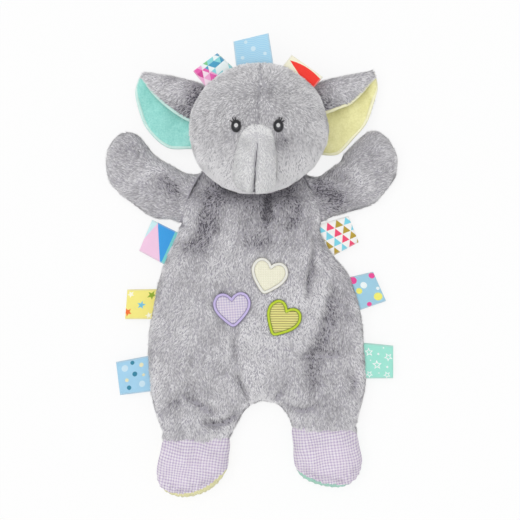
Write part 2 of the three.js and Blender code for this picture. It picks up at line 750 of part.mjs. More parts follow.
function makeSideTag(form) {
  const { side, share, width } = form;
  const y = lerp(UNDERARM_Y - TAG_ARM_CLEARANCE - width / 2, HIP_Y + width / 2, share);
  const step = width / 50;
  const edge = (at) => flat(side * torsoCentre(at) + torsoHalfWidth(at), at);
  const along = edge(y + step).sub(edge(y - step)).normalize();
  const away = TAG_GAP + tagHalf;
  const tag = ribbonTag(form);
  tag.position.set(side * (edge(y).x + along.y * away), y - along.x * away, SEAM_HEIGHT);
  tag.rotation.z = side * Math.atan2(-along.x, along.y);
  tag.scale.x = side;
  return tag;
}

function makeHeadTag(form) {
  const turn = radians(90 - form.angle);
  const slope = Math.atan2(Math.sin(turn) / HEAD_HALF_HEIGHT, Math.cos(turn) / HEAD_HALF_WIDTH);
  const away = TAG_GAP + tagHalf;
  const tag = ribbonTag(form);
  tag.position.set(
    HEAD_HALF_WIDTH * Math.cos(turn) + away * Math.cos(slope),
    HEAD_HALF_HEIGHT * Math.sin(turn) + away * Math.sin(slope),
    0,
  );
  tag.rotation.z = slope;
  return tag;
}

// Heart patches on the chest: the place of each in its group, counted in heart pitches
const HEARTS = [
  { name: 'cream_heart', across: 0.15, up: 0.524, turn: -16, color: 0xe8e6d0, edge: 0xf6f5e8 },
  { name: 'lilac_heart', across: -0.59, up: -0.167, turn: 4, color: 0xded0e4, edge: 0xc4b4e8 },
  { name: 'green_heart', across: 0.424, up: -0.376, turn: -30, color: 0xded882, edge: 0xbedc32 },
];

function heartOutline(middle, turn, inset) {
  const count = 24;
  const centring = 0.1;
  return spread(0, 2 * Math.PI, count + 1).slice(0, count).map((angle) => {
    const across = Math.sin(angle) ** 3;
    const up = (13 * Math.cos(angle) - 5 * Math.cos(2 * angle) - 2 * Math.cos(3 * angle)
      - Math.cos(4 * angle)) / 16 + centring;
    const reach = flat(-across, up).multiplyScalar(HEART_SIZE / 2);
    reach.setLength(reach.length() - inset);
    return { edge: reach.rotateAround(flat(0, 0), radians(turn)).add(middle), core: middle };
  });
}

function makeHeart({ name, across, up, turn, color, edge }) {
  const group = new THREE.Group();
  const pitch = HEART_SIZE + HEART_SPACE;
  const middle = flat(HEARTS_X + across * pitch, HEARTS_Y + up * pitch);
  const outside = heartOutline(middle, turn, 0);
  const inside = heartOutline(middle, turn, HEART_BORDER_WIDTH + GAP);
  group.add(named(`${name}_patch`, patch(inside, torsoTop, GAP, HEART_THICKNESS), color));
  group.add(named(
    `${name}_border`,
    border(outside, HEART_BORDER_WIDTH, torsoTop, GAP, HEART_BORDER_THICKNESS),
    edge,
    0.5,
  ));
  return group;
}

function makeHead() {
  const group = new THREE.Group();
  const outline = headOutline();
  const face = toSolid(panel(outline, headFront));
  group.add(named('face_left_panel', toGeometry(halfOf(face, -1)), GREY));
  group.add(named('face_right_panel', toGeometry(halfOf(face, 1)), GREY));
  group.add(named('head_back_panel', flipped(panel(outline, headBack)), GREY));
  group.add(named('head_filling', filling(outline, headFront, headBack), WHITE));
  group.add(makeTrunk());
  group.add(makeEar('left_ear', -1, LEFT_EAR, MINT));
  group.add(makeEar('right_ear', 1, RIGHT_EAR, YELLOW));
  const eyeX = TRUNK_ROOT_RADIUS + EYE_TRUNK_GAP + EYE_WIDTH / 2;
  group.add(makeEye('left', -eyeX));
  group.add(makeEye('right', eyeX));
  HEAD_TAGS.forEach((tag) => group.add(makeHeadTag(tag)));
  const neck = new THREE.Group();
  neck.position.set(HEAD_X, NECK_Y - SEAM_ROLL, SEAM_HEIGHT);
  group.position.set(0, headY - neck.position.y, HEAD_SEAM_HEIGHT - SEAM_HEIGHT);
  neck.add(group);
  neck.name = 'head';
  return neck;
}

const elephant = new THREE.Group();
elephant.add(makeTorso());
elephant.add(makeArm('left_arm', -1));
elephant.add(makeArm('right_arm', 1));
elephant.add(makeLeg('left', -1, LEFT_LEG_LENGTH, LEFT_ANKLE_X, YELLOW));
elephant.add(makeLeg('right', 1, RIGHT_LEG_LENGTH, RIGHT_ANKLE_X, MINT));
SIDE_TAGS.forEach((tag) => elephant.add(makeSideTag(tag)));
HEARTS.forEach((heart) => elephant.add(makeHeart(heart)));
elephant.add(makeHead());

export default elephant;
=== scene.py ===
"""Looks of the plush elephant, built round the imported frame."""
import itertools
import math

import bmesh
import bpy
import numpy as np
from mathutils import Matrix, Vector
from mathutils.geometry import delaunay_2d_cdt


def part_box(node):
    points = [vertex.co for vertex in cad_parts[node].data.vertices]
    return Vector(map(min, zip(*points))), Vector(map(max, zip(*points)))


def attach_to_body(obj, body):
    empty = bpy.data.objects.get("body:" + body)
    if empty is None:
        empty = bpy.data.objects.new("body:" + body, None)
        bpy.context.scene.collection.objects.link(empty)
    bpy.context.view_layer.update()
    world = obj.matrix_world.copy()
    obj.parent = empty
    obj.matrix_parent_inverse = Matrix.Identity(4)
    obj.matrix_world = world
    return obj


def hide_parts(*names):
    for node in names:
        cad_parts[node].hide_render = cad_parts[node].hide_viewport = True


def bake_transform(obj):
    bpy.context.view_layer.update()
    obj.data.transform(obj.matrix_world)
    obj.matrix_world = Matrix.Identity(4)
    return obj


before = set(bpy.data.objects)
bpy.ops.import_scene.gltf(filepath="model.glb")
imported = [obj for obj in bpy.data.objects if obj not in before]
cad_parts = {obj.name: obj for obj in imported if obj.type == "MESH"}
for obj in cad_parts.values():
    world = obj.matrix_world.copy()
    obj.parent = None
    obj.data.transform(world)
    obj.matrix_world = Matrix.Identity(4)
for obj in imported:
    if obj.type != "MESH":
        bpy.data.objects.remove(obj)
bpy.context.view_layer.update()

# Sizes are in millimetres, in the CAD frame: the toy lies on its back, its front up, its head towards +Y.
MM = 0.001
SEAM_Z = 7.0
HIP_Y = -99.3
CROTCH_X = 5.25
head_low, head_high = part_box("head_back_panel")
HEAD = np.array([2.7, (head_low[1] + head_high[1]) / 2 / MM, 34.0])
# Half the head's width, half its height, and how far the face rises and the back goes down
HEAD_HALF = np.array([47.0, 44.2, 35.0])
HEAD_BACK_DEPTH = 32.2
# The head's depth is a sphere's to this power
HEAD_POWER = 1.08

# Camera and light
CAMERA_PLACE = (3.5, 0, 1018)
LENS = 100
WORLD_LIGHT = 0.58
# Each sun: the way its light goes, its strength and its spread in degrees
SUNS = {"key": ((0.25, -0.1, -1.0), 1.35, 50), "fill": ((-0.5, 0.45, -1.0), 0.3, 90)}
scene = bpy.context.scene
scene.view_settings.view_transform = "Standard"


def add_object(name, data):
    item = bpy.data.objects.new(name, data)
    bpy.context.collection.objects.link(item)
    return item


def metres(place):
    return tuple(value * MM for value in place)


camera = bpy.data.cameras.new("camera")
camera.type = "PERSP"
camera.lens = LENS
camera.sensor_width = 36
scene.camera = add_object("camera", camera)
scene.camera.location = metres(CAMERA_PLACE)
for name, (direction, strength, spread) in SUNS.items():
    sun = bpy.data.lights.new(name, "SUN")
    sun.energy = strength
    sun.angle = math.radians(spread)
    add_object(name, sun).rotation_euler = Vector(direction).to_track_quat("-Z", "Y").to_euler()
scene.world = bpy.data.worlds.new("studio")
scene.world.use_nodes = True
background = scene.world.node_tree.nodes["Background"].inputs
background["Color"].default_value = (1, 1, 1, 1)
background["Strength"].default_value = WORLD_LIGHT


# Shader helpers
def colour(*levels):
    """A linear colour from red, green and blue between 0 and 255."""
    shares = [level / 255 for level in levels]
    linear = [share / 12.92 if share <= 0.04045 else ((share + 0.055) / 1.055) ** 2.4 for share in shares]
    return (*linear, 1.0)


def dimmed(levels, share):
    return tuple(level * share for level in levels)


def feed(tree, socket, value):
    """Links a value or a socket to an input, or sets the input to a number or a colour."""
    if isinstance(value, Value):
        value = value.socket
    if isinstance(value, bpy.types.NodeSocket):
        tree.links.new(value, socket)
    else:
        socket.default_value = colour(*value) if isinstance(value, tuple) and len(value) == 3 else value


def operation(kind):
    """A method of Value that adds one node of this kind."""
    def method(self, *others):
        node = self.tree.nodes.new("ShaderNodeMath")
        node.operation = kind
        for socket, value in zip(node.inputs, (self, *others)):
            feed(self.tree, socket, value)
        return Value(self.tree, node.outputs[0])
    return method


class Value:
    """A float socket that takes part in sums."""

    def __init__(self, tree, socket):
        self.tree = tree
        self.socket = socket

    __add__ = operation("ADD")
    __sub__ = operation("SUBTRACT")
    __mul__ = operation("MULTIPLY")
    __truediv__ = operation("DIVIDE")
    above = operation("GREATER_THAN")
    below = operation("LESS_THAN")
    fract = operation("FRACT")
    floor = operation("FLOOR")
    abs = operation("ABSOLUTE")
    sine = operation("SINE")
    cosine = operation("COSINE")
    angle = operation("ARCTAN2")
    least = operation("MINIMUM")
    most = operation("MAXIMUM")
    power = operation("POWER")

    def wave(self, pitch):
        return (self * (2 * math.pi / pitch)).sine()

    def clamped(self):
        return self.most(0.0).least(1.0)

    def within(self, limit):
        """1 where the value is under the limit, with a soft edge."""
        return ((self * -1.0 + limit) * 6.0 + 0.5).clamped()


class Shader:
    """A material with one Principled shader, and short names for its nodes."""

    def __init__(self, name, roughness, sheen=0.0, specular=0.3):
        self.material = bpy.data.materials.new(name)
        self.material.use_nodes = True
        self.tree = self.material.node_tree
        self.bsdf = self.tree.nodes["Principled BSDF"]
        self.feed_all(self.bsdf, {"Roughness": roughness, "Sheen Weight": sheen, "Sheen Roughness": 0.6,
                                  "Specular IOR Level": specular})

    def feed_all(self, node, inputs):
        for name, value in inputs.items():
            feed(self.tree, node.inputs[name], value)
        return node

    def node(self, kind, inputs):
        return self.feed_all(self.tree.nodes.new("ShaderNode" + kind), inputs)

    def map(self, name):
        place = self.node("UVMap", {})
        place.uv_map = name
        split = self.node("SeparateXYZ", {0: place.outputs["UV"]})
        return Value(self.tree, split.outputs[0]), Value(self.tree, split.outputs[1])

    def noise(self, scale, detail=3.0):
        place = self.node("TexCoord", {}).outputs["Object"]
        node = self.node("TexNoise", {"Scale": scale, "Detail": detail, "Vector": place})
        return Value(self.tree, node.outputs["Fac"])

    def mix(self, share, first, second):
        node = self.tree.nodes.new("ShaderNodeMix")
        node.data_type = "RGBA"
        return self.feed_all(node, {0: share, 6: first, 7: second}).outputs[2]

    def paint(self, socket):
        self.feed_all(self.bsdf, {"Base Color": socket})

    def bump(self, value, distance, strength=1.0):
        """Raises the surface, and returns the finished material."""
        node = self.node("Bump", {"Strength": strength, "Distance": distance, "Height": value})
        self.feed_all(self.bsdf, {"Normal": node.outputs["Normal"]})
        return self.material


# Numbers
def hashed(cells, seed):
    """A random value from 0 to 1 for each cell of a grid."""
    mask = np.uint64(0xFFFFFFFF)
    value = np.full(cells.shape[:-1], seed * 2654435761 + 97, dtype=np.uint64)
    for axis, prime in enumerate((374761393, 668265263, 1442695041)):
        value = (value ^ (cells[..., axis].astype(np.uint64) * np.uint64(prime))) & mask
        value = ((value ^ (value >> np.uint64(13))) * np.uint64(1274126177)) & mask
    return ((value ^ (value >> np.uint64(16))) & mask).astype(float) / 4294967295.0


def drift(points, size, seed):
    """Smooth random values from -1 to 1 that change over about one size."""
    if points.shape[-1] == 2:
        points = np.concatenate([points, np.zeros(points.shape[:-1] + (1,))], axis=-1)
    place = points / size + 512.0
    cell = np.floor(place)
    share = smoothstep(0, 1, place - cell)
    total = 0.0
    for corner in itertools.product((0, 1), repeat=3):
        weight = np.prod(np.where(np.array(corner) == 1, share, 1 - share), axis=-1)
        total = total + weight * hashed((cell + corner).astype(np.int64), seed)
    return total * 2 - 1


def smoothstep(low, high, value):
    share = np.clip((value - low) / (high - low), 0, 1)
    return share * share * (3 - 2 * share)


def bell(value, half):
    """1 at zero, falling off over about one half width."""
    return np.exp(-(value / half) ** 2)


def spots(place, rows):
    """Adds up soft round places: each row has x, y, a radius and an amount."""
    return sum(amount * np.exp(-((place[:, 0] - x) ** 2 + (place[:, 1] - y) ** 2) / radius ** 2)
               for x, y, radius, amount in rows)


def unit(vectors):
    return vectors / np.maximum(np.linalg.norm(vectors, axis=-1, keepdims=True), 1e-9)


def turned(flat, angle):
    x, y = flat.T
    cosine, sine = math.cos(angle), math.sin(angle)
    return np.stack([x * cosine - y * sine, x * sine + y * cosine], axis=1)


def closed(loop):
    return np.vstack([loop, loop[:1]])


def lengths(path):
    """How far along the path each of its points lies."""
    return np.concatenate([[0], np.cumsum(np.linalg.norm(np.diff(path, axis=0), axis=1))])


def spaced(path, wanted):
    """The places at the wanted lengths along a path."""
    along = lengths(path)
    return np.stack([np.interp(wanted, along, axis) for axis in path.T], axis=1)


def curve(points, step):
    """A smooth run through the points, resampled at about one step, both ends kept."""
    points = np.array(points, dtype=float)
    padded = np.vstack([2 * points[0] - points[1], points, 2 * points[-1] - points[-2]])
    dense = []
    share = np.linspace(0, 1, 24, endpoint=False)[:, None]
    for p0, p1, p2, p3 in zip(padded[:-3], padded[1:-2], padded[2:-1], padded[3:]):
        dense.append(0.5 * (2 * p1 + (p2 - p0) * share + (2 * p0 - 5 * p1 + 4 * p2 - p3) * share ** 2
                            + (3 * p1 - p0 - 3 * p2 + p3) * share ** 3))
    dense = np.vstack(dense + [points[-1:]])
    total = lengths(dense)[-1]
    return spaced(dense, np.linspace(0, total, max(2, int(round(total / step)) + 1)))


def nearest(points, path):
    """Flat distance from each point to an open path, and the share along the path of the nearest place."""
    points = points[:, :2]
    best = np.full(len(points), 1e9)
    place = np.zeros(len(points))
    for index, (start, end) in enumerate(zip(path[:-1], path[1:])):
        run = end - start
        share = np.clip(((points - start) @ run) / max(run @ run, 1e-12), 0, 1)
        gap = np.linalg.norm(points - (start + share[:, None] * run), axis=1)
        closer = gap < best
        best = np.where(closer, gap, best)
        place = np.where(closer, (index + share) / (len(path) - 1), place)
    return best, place


def gap_to(points, *paths):
    return np.min([nearest(points, path)[0] for path in paths], axis=0)


def index_near(loop, place):
    return int(np.argmin(np.linalg.norm(loop - place, axis=1)))


def inside(points, loop):
    result = np.zeros(len(points), dtype=bool)
    for (x1, y1), (x2, y2) in zip(loop, np.roll(loop, -1, axis=0)):
        crosses = (y1 > points[:, 1]) != (y2 > points[:, 1])
        if y1 != y2:
            result ^= crosses & (points[:, 0] < (x2 - x1) * (points[:, 1] - y1) / (y2 - y1) + x1)
    return result


# Meshes
def make_object(name, points, faces, material):
    mesh = bpy.data.meshes.new(name)
    count, sides = faces.shape
    mesh.vertices.add(len(points))
    mesh.vertices.foreach_set("co", (points * MM).ravel())
    mesh.loops.add(count * sides)
    mesh.loops.foreach_set("vertex_index", faces.ravel().astype(np.int32))
    mesh.polygons.add(count)
    mesh.polygons.foreach_set("loop_start", np.arange(count, dtype=np.int32) * sides)
    mesh.update(calc_edges=True)
    mesh.validate()
    mesh.polygons.foreach_set("use_smooth", np.full(len(mesh.polygons), True))
    mesh.update()
    mesh.materials.append(material)
    return add_object(name, mesh)


def set_map(piece, name, values):
    """Writes a map with one place for each vertex."""
    mesh = piece.data
    layer = mesh.uv_layers.new(name=name)
    index = np.empty(len(mesh.loops), dtype=np.int32)
    mesh.loops.foreach_get("vertex_index", index)
    layer.uv.foreach_set("vector", np.asarray(values, dtype=np.float32)[index].ravel())


def attach(piece, bodies, replaced=()):
    """Puts a piece on one body; given two bodies with a start and an end, it only bakes the piece's
    transform. Hides the parts the piece replaces.
    """
    if isinstance(bodies, str):
        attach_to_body(piece, bodies)
    else:
        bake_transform(piece)
    if replaced:
        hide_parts(*replaced)


def vertex_normals(points, triangles):
    a, b, c = points[triangles].swapaxes(0, 1)
    face = np.cross(b - a, c - a)
    normals = np.zeros_like(points)
    for side in range(3):
        np.add.at(normals, triangles[:, side], face)
    return unit(normals)


def outward_faces(points, triangles):
    a, b, c = (points[triangles] - points.mean(0)).swapaxes(0, 1)
    return triangles if (a * np.cross(b, c)).sum() > 0 else triangles[:, ::-1]


def grid_faces(rows, columns, wrap_rows=False, wrap_columns=False):
    """Quads over a grid of points, which may close round."""
    index = np.arange(rows * columns).reshape(rows, columns)
    index = np.vstack([index, index[:wrap_rows]])
    index = np.hstack([index, index[:, :wrap_columns]])
    return np.stack([index[:-1, :-1], index[:-1, 1:], index[1:, 1:], index[1:, :-1]], axis=-1).reshape(-1, 4)


def walls_between(rim, offset):
    """Quads between a closed line of points and its copy, whose numbers are higher by the offset."""
    after = np.roll(rim, -1)
    return np.stack([rim, rim + offset, after + offset, after], axis=1)


def triangles_of(quads):
    return np.vstack([quads[:, [0, 1, 2]], quads[:, [0, 2, 3]]])


def capped(rings):
    """A closed form through rings of points (rings, sides, 3), with a fan at each end."""
    count, sides, _ = rings.shape
    points = np.vstack([rings.reshape(-1, 3), rings[0].mean(0), rings[-1].mean(0)])
    here = np.arange(sides)
    after = (here + 1) % sides
    first = np.full(sides, count * sides)
    last = (count - 1) * sides
    start_fan = np.stack([first, after, here], axis=1)
    end_fan = np.stack([first + 1, last + here, last + after], axis=1)
    triangles = triangles_of(grid_faces(count, sides, wrap_columns=True))
    return points, outward_faces(points, np.vstack([triangles, start_fan, end_fan]))


def tube(path, radius, sides=8):
    """A closed tube round an open path."""
    heading = unit(np.gradient(path, axis=0))
    across = unit(np.cross(heading, np.array([0.13, 0.21, 0.97])))
    up = np.cross(across, heading)
    angle = np.linspace(0, 2 * np.pi, sides, endpoint=False)[:, None]
    return capped(path[:, None] + radius * (across[:, None] * np.cos(angle) + up[:, None] * np.sin(angle)))


def sheet_normals(grid):
    return unit(np.cross(np.gradient(grid, axis=1), np.gradient(grid, axis=0)))


def thick_sheet(grid, thickness):
    """A closed sheet of the given thickness round a grid of points (rows, columns, 3)."""
    rows, columns, _ = grid.shape
    offset = rows * columns
    half = sheet_normals(grid) * thickness / 2
    base = grid_faces(rows, columns)
    index = np.arange(offset).reshape(rows, columns)
    rim = np.concatenate([index[0], index[1:, -1], index[-1, -2::-1], index[-2:0:-1, 0]])
    faces = np.vstack([base, base[:, ::-1] + offset, walls_between(rim, offset)])
    return np.vstack([(grid + half).reshape(-1, 3), (grid - half).reshape(-1, 3)]), faces


# Plush
def pile_material(name, deep, dark, light):
    shader = Shader(name, 0.92, sheen=0.5, specular=0.15)
    tone, height = shader.map("OFBake")
    body = shader.mix(tone, dark, light)
    # Roots painted darker than the tips: painted shade deep in the pile
    root = shader.mix(tone, dimmed(dark, 0.5), deep)
    shader.paint(shader.mix(height.power(0.6), root, body))
    return shader.material


def backing_material(name, dark, light):
    shader = Shader(name, 0.95, sheen=0.2, specular=0.1)
    shader.paint(shader.mix(shader.noise(420.0), dark, light))
    return shader.bump(shader.noise(1500.0), 0.0006)


PLUSH_DARK = (85, 80, 93)
PLUSH_LIGHT = (255, 254, 255)
# Each pile's root colour, then the dark and light ends of its tone; the roots carry painted shade
plush_pile = pile_material("plush_pile", (198, 195, 204), PLUSH_DARK, PLUSH_LIGHT)
face_pile = pile_material("face_pile", (192, 190, 196), PLUSH_DARK, PLUSH_LIGHT)
trunk_pile = pile_material("trunk_pile", (228, 228, 229), (206, 206, 207), (255, 255, 255))
# The backing is greyer than the pile's tips: partly its own colour, partly painted shade in the gaps between
# tufts
plush_backing = backing_material("plush_backing", (156, 153, 162), (184, 181, 190))
face_backing = backing_material("face_backing", (158, 156, 162), (184, 182, 188))
trunk_backing = backing_material("trunk_backing", (190, 189, 194), (214, 213, 216))
# A dark colour for painted shadow in the trunk's seam groove
groove_shade_material = backing_material("groove_shade_material", (84, 82, 88), (104, 102, 108))


# How deep a tuft is rooted, and how high over the floor its root and its tip stay
ROOT_DEPTH = 0.3
ROOT_FLOOR = 0.15
TIP_FLOOR = 0.05


def grow(name, points, triangles, material, flow, seed, keep=None, spacing=0.76, back_spacing=1.1,
         length=2.6, width=0.52, lean=64.0, ruffle=0.44, grain=0.42, lift=0.7, tone=None):
    """Grows tufts of pile, each a closed spike, over a triangle mesh.

    Lengths are in millimetres and the lean in degrees. The flow combs the tufts, keep leaves some out, and
    the tone and the grain make them lighter and darker; the tone is mostly painted light and shade. The lift
    turns their normals upwards.
    """
    rng = np.random.default_rng(seed)
    normals = vertex_normals(points, triangles)
    a, b, c = points[triangles].swapaxes(0, 1)
    face = np.cross(b - a, c - a)
    area = np.linalg.norm(face, axis=1) / 2
    upward = face[:, 2] / np.maximum(area * 2, 1e-9)
    gap = spacing + (back_spacing - spacing) * smoothstep(0.0, -0.5, upward)
    count = np.floor(area / gap ** 2 + rng.random(len(area))).astype(int)
    owner = triangles[np.repeat(np.arange(len(area)), count)]
    first, second = rng.random((2, len(owner)))
    fold = first + second > 1
    first, second = np.where(fold, 1 - first, first), np.where(fold, 1 - second, second)
    shares = np.stack([1 - first - second, first, second], axis=1)[:, :, None]
    place = (points[owner] * shares).sum(1)
    normal = unit((normals[owner] * shares).sum(1))
    random = rng.random((len(owner), 5))
    if keep is not None:
        kept = keep(place, normal)
        place, normal, random = place[kept], normal[kept], random[kept]
    comb = flow(place, normal)
    comb = unit(comb - normal * (comb * normal).sum(1, keepdims=True))
    turn = ruffle * 1.6 * drift(place, 7.0, seed) + ruffle * 0.9 * drift(place, 2.6, seed + 1)
    turn = (turn + ruffle * (random[:, 0] - 0.5))[:, None]
    comb = unit(comb * np.cos(turn) + np.cross(normal, comb) * np.sin(turn))
    side = np.cross(normal, comb)
    angle = np.radians(lean + 12 * drift(place, 5.0, seed + 2) + 14 * (random[:, 1] - 0.5))[:, None]
    reach = (length * (0.78 + 0.44 * random[:, 2]))[:, None]
    half = (width * (0.75 + 0.5 * random[:, 3]))[:, None]
    root = place - normal * ROOT_DEPTH
    tip = root + reach * (np.sin(angle) * comb + np.cos(angle) * normal)
    root[:, 2] = np.maximum(root[:, 2], ROOT_FLOOR)
    tip[:, 2] = np.maximum(tip[:, 2], TIP_FLOOR)
    foot = root - 0.2 * half * comb
    tufts = np.stack([foot + half * side, foot - half * side, root + 0.9 * half * comb, tip], axis=1)
    start = np.arange(len(root))[:, None] * 4
    orders = np.array([(0, 2, 1), (0, 1, 3), (1, 2, 3), (2, 0, 3)])
    faces = np.concatenate([start + order for order in orders])
    piece = make_object(name, tufts.reshape(-1, 3), faces, material)
    shade = 0.695 + 0.05 * drift(place, 24.0, seed + 3) + 0.04 * drift(place, 3.2, seed + 4)
    shade = shade + 0.11 * drift(place * np.array([1.0, 0.35, 1.0]), 1.9, seed + 5)
    # Tufts on steep sides painted lighter: painted light at the rims
    shade = shade + 0.38 * (1 - np.abs(normal[:, 2])) ** 2
    local = tone(place, normal) if tone is not None else np.zeros(len(root))
    rough = grain(place) if callable(grain) else grain
    shade = shade + local + (rough + 0.8 * np.maximum(-local, 0)) * (random[:, 4] - 0.5)
    shade = np.clip(shade, 0.02, 0.98)[:, None] + (-0.008, 0.008, 0, 0)
    height = np.broadcast_to((0.02, 0.02, 0.06, 0.98), shade.shape)
    set_map(piece, "OFBake", np.stack([shade, height], axis=-1).reshape(-1, 2))
    normal = unit(normal + np.array([0, 0, lift]) * smoothstep(-0.2, 0.3, normal[:, 2:]))
    bent = unit(normal[:, None] + np.stack([side * 0.8, side * -0.8, comb * -0.3, comb * 0.2], axis=1))
    piece.data.normals_split_custom_set_from_vertices(bent.reshape(-1, 3).tolist())
    return piece


def combed(x, y):
    """A flow of pile in one direction."""
    return lambda place, normal: np.broadcast_to((x, y, 0.0), place.shape)


# Pillows: two skins over one outline
class Outline:
    """A closed outline made of runs, each a sewn edge or an open cut."""

    def __init__(self, runs, step, inset=0.0):
        loop, cut = [], []
        self.edges, self.cuts = [], []
        x, y = np.vstack([points for _, points in runs]).T
        inward = np.sign((x * np.roll(y, -1) - y * np.roll(x, -1)).sum())
        for kind, points in runs:
            path = curve(points, step)
            if kind == "edge" and inset:
                heading = unit(np.gradient(path, axis=0)) * inward
                nearest_end = np.minimum(np.arange(len(path)), np.arange(len(path))[::-1]) * step
                share = inset * smoothstep(0, 8, nearest_end)
                path = path + np.column_stack([-heading[:, 1], heading[:, 0]]) * share[:, None]
            (self.edges if kind == "edge" else self.cuts).append(path)
            loop.extend(path[:-1])
            cut.extend([kind == "cut"] * (len(path) - 1))
        self.loop = np.array(loop)
        self.cut = np.array(cut)

    def edge_distance(self, points):
        return gap_to(points, *self.edges)


def fill(outline, step, row_y=None, line=None):
    """Triangles over the outline, with a row of points at row_y and along a line where given."""
    loop, cut = outline.loop, outline.cut
    if row_y is not None:
        after = np.roll(loop, -1, axis=0)
        over = np.nonzero((loop[:, 1] - row_y) * (after[:, 1] - row_y) < -1e-9)[0]
        share = (row_y - loop[over, 1]) / (after[over, 1] - loop[over, 1])
        x = loop[over, 0] + share * (after[over, 0] - loop[over, 0])
        loop = np.insert(loop, over + 1, np.column_stack([x, np.full(len(x), row_y)]), axis=0)
        cut = np.insert(cut, over + 1, cut[over])
    low, high = loop.min(0), loop.max(0)
    row_gap = step * math.sqrt(3) / 2
    anchor = low[1] if row_y is None else row_y
    inner = []
    for row in range(math.floor((low[1] - anchor) / row_gap), math.ceil((high[1] - anchor) / row_gap) + 1):
        across = np.arange(low[0] + step / 2 * (row % 2), high[0], step)
        inner.append(np.stack([across, np.full_like(across, anchor + row * row_gap)], axis=1))
    inner = np.vstack(inner)
    inner = inner[inside(inner, loop)]
    inner = inner[gap_to(inner, closed(loop)) > step * 0.55]
    edges = [(index, (index + 1) % len(loop)) for index in range(len(loop))]
    points = np.vstack([loop, inner])
    if line is not None:
        inner = inner[gap_to(inner, line) > step * 0.55]
        points = np.vstack([loop, line[1:-1], inner])
        middle = range(len(loop), len(loop) + len(line) - 2)
        chain = [index_near(loop, line[0]), *middle, index_near(loop, line[-1])]
        edges += zip(chain, chain[1:])
    if row_y is not None:
        row = np.nonzero(np.abs(points[:, 1] - row_y) < 1e-6)[0]
        row = row[np.argsort(points[row, 0])].tolist()
        edges += zip(row, row[1:])
    places, _, faces, *_ = delaunay_2d_cdt([Vector(point) for point in points], edges, [], 1, 1e-5)
    places = np.array([tuple(place) for place in places])
    faces = np.array([tuple(face) for face in faces])
    a, b, c = places[faces].swapaxes(0, 1)
    clockwise = (b[:, 0] - a[:, 0]) * (c[:, 1] - a[:, 1]) - (b[:, 1] - a[:, 1]) * (c[:, 0] - a[:, 0]) < 0
    faces[clockwise] = faces[clockwise][:, ::-1]
    faces = faces[inside(places[faces].mean(1), loop)]
    return places, faces, len(loop), cut


class Pillow:
    """A closed form: a front and a back skin, joined along sewn edges and walled along cuts."""

    def __init__(self, outline, step, front, back, row_y=None, line=None):
        self.flat, self.front, rim, cut = fill(outline, step, row_y, line)
        count = len(self.flat)
        open_edge = cut & np.roll(cut, 1)
        shared = np.zeros(count, dtype=bool)
        shared[:rim] = ~open_edge
        back_index = np.arange(count)
        back_index[~shared] = count + np.arange((~shared).sum())
        edge = outline.edge_distance(self.flat)
        edge[shared] = 0
        front_z = SEAM_Z + front(self.flat, edge)
        back_z = SEAM_Z - back(self.flat, edge)
        front_z[shared] = SEAM_Z
        upper = np.column_stack([self.flat, front_z])
        lower = np.column_stack([self.flat, back_z])[~shared]
        self.points = self.sewn = np.vstack([upper, lower])
        self.back = back_index[self.front[:, ::-1]]
        here = np.nonzero(cut)[0]
        after = (here + 1) % rim
        quads = np.stack([here, back_index[here], back_index[after], after], axis=1)
        walls = quads[:, [0, 1, 2, 0, 2, 3]].reshape(-1, 3)
        self.walls = walls[(walls != np.roll(walls, 1, axis=1)).all(1)]

    def swell(self, pressure, slack, cap, frames=20):
        """Blows the form up as cloth, cut slightly too large, with its cuts held, and keeps the result.

        No point moves further than the cap.
        """
        triangles = np.vstack([self.front, self.back, self.walls])
        trial = make_object("swell_trial", self.points, triangles, plush_backing)
        held = trial.vertex_groups.new(name="held")
        held.add(np.unique(self.walls).tolist(), 1.0, "REPLACE")
        cloth = trial.modifiers.new("cloth", "CLOTH")
        cloth.settings.quality = 6
        cloth.settings.mass = 0.15
        cloth.settings.tension_stiffness = cloth.settings.compression_stiffness = 20
        cloth.settings.shear_stiffness = 10
        cloth.settings.bending_stiffness = 0.5
        cloth.settings.shrink_min = -slack
        cloth.settings.use_pressure = True
        cloth.settings.uniform_pressure_force = pressure
        cloth.settings.vertex_group_mass = "held"
        cloth.settings.effector_weights.gravity = 0
        cloth.point_cache.frame_start, cloth.point_cache.frame_end = 1, frames
        for frame_number in range(1, frames + 1):
            scene.frame_set(frame_number)
        shaped = trial.evaluated_get(bpy.context.evaluated_depsgraph_get()).to_mesh()
        moved = np.empty(len(shaped.vertices) * 3)
        shaped.vertices.foreach_get("co", moved)
        moved = moved.reshape(-1, 3) / MM - self.points
        size = np.linalg.norm(moved, axis=1, keepdims=True)
        self.points = self.points + moved * np.minimum(1, cap / np.maximum(size, 1e-9))
        self.points[:, 2] = np.maximum(self.points[:, 2], 1.0)
        mesh = trial.data
        bpy.data.objects.remove(trial)
        bpy.data.meshes.remove(mesh)
        scene.frame_set(1)

    def part(self, walled, chosen=None):
        """Points and triangles of the skins, or of those whose middle is chosen, with or without walls."""
        triangles = np.vstack([self.front, self.back] + [self.walls] * walled)
        if chosen is not None:
            triangles = triangles[chosen(*self.sewn[triangles].mean(1).T)]
        return compact(self.points, triangles)


def compact(points, triangles):
    used, index = np.unique(triangles, return_inverse=True)
    return points[used], index.reshape(triangles.shape)


def dress(name, pillow, bodies, flow, piles, chosen=None):
    """Makes a plush skin and its piles: each row has the pile's ending, its seed and its settings."""
    skin = make_object(name + "_skin", *pillow.part(True, chosen), plush_backing)
    replaced = [name + end for end in ("_front_panel", "_back_panel", "_filling")]
    attach(skin, bodies, replaced)
    for end, seed, settings in piles:
        pile = grow(name + end, *pillow.part(False, chosen), plush_pile, flow, seed, **settings)
        attach(pile, bodies)


def rounded(edge, reach):
    share = np.clip(edge / reach, 0, 1)
    return np.sqrt(np.maximum(1 - (1 - share) ** 2.3, 0))


def crease(flat, paths, depth, half):
    return 1 - depth * bell(gap_to(flat, *paths), half)


FOLD_STRENGTH = 2.3


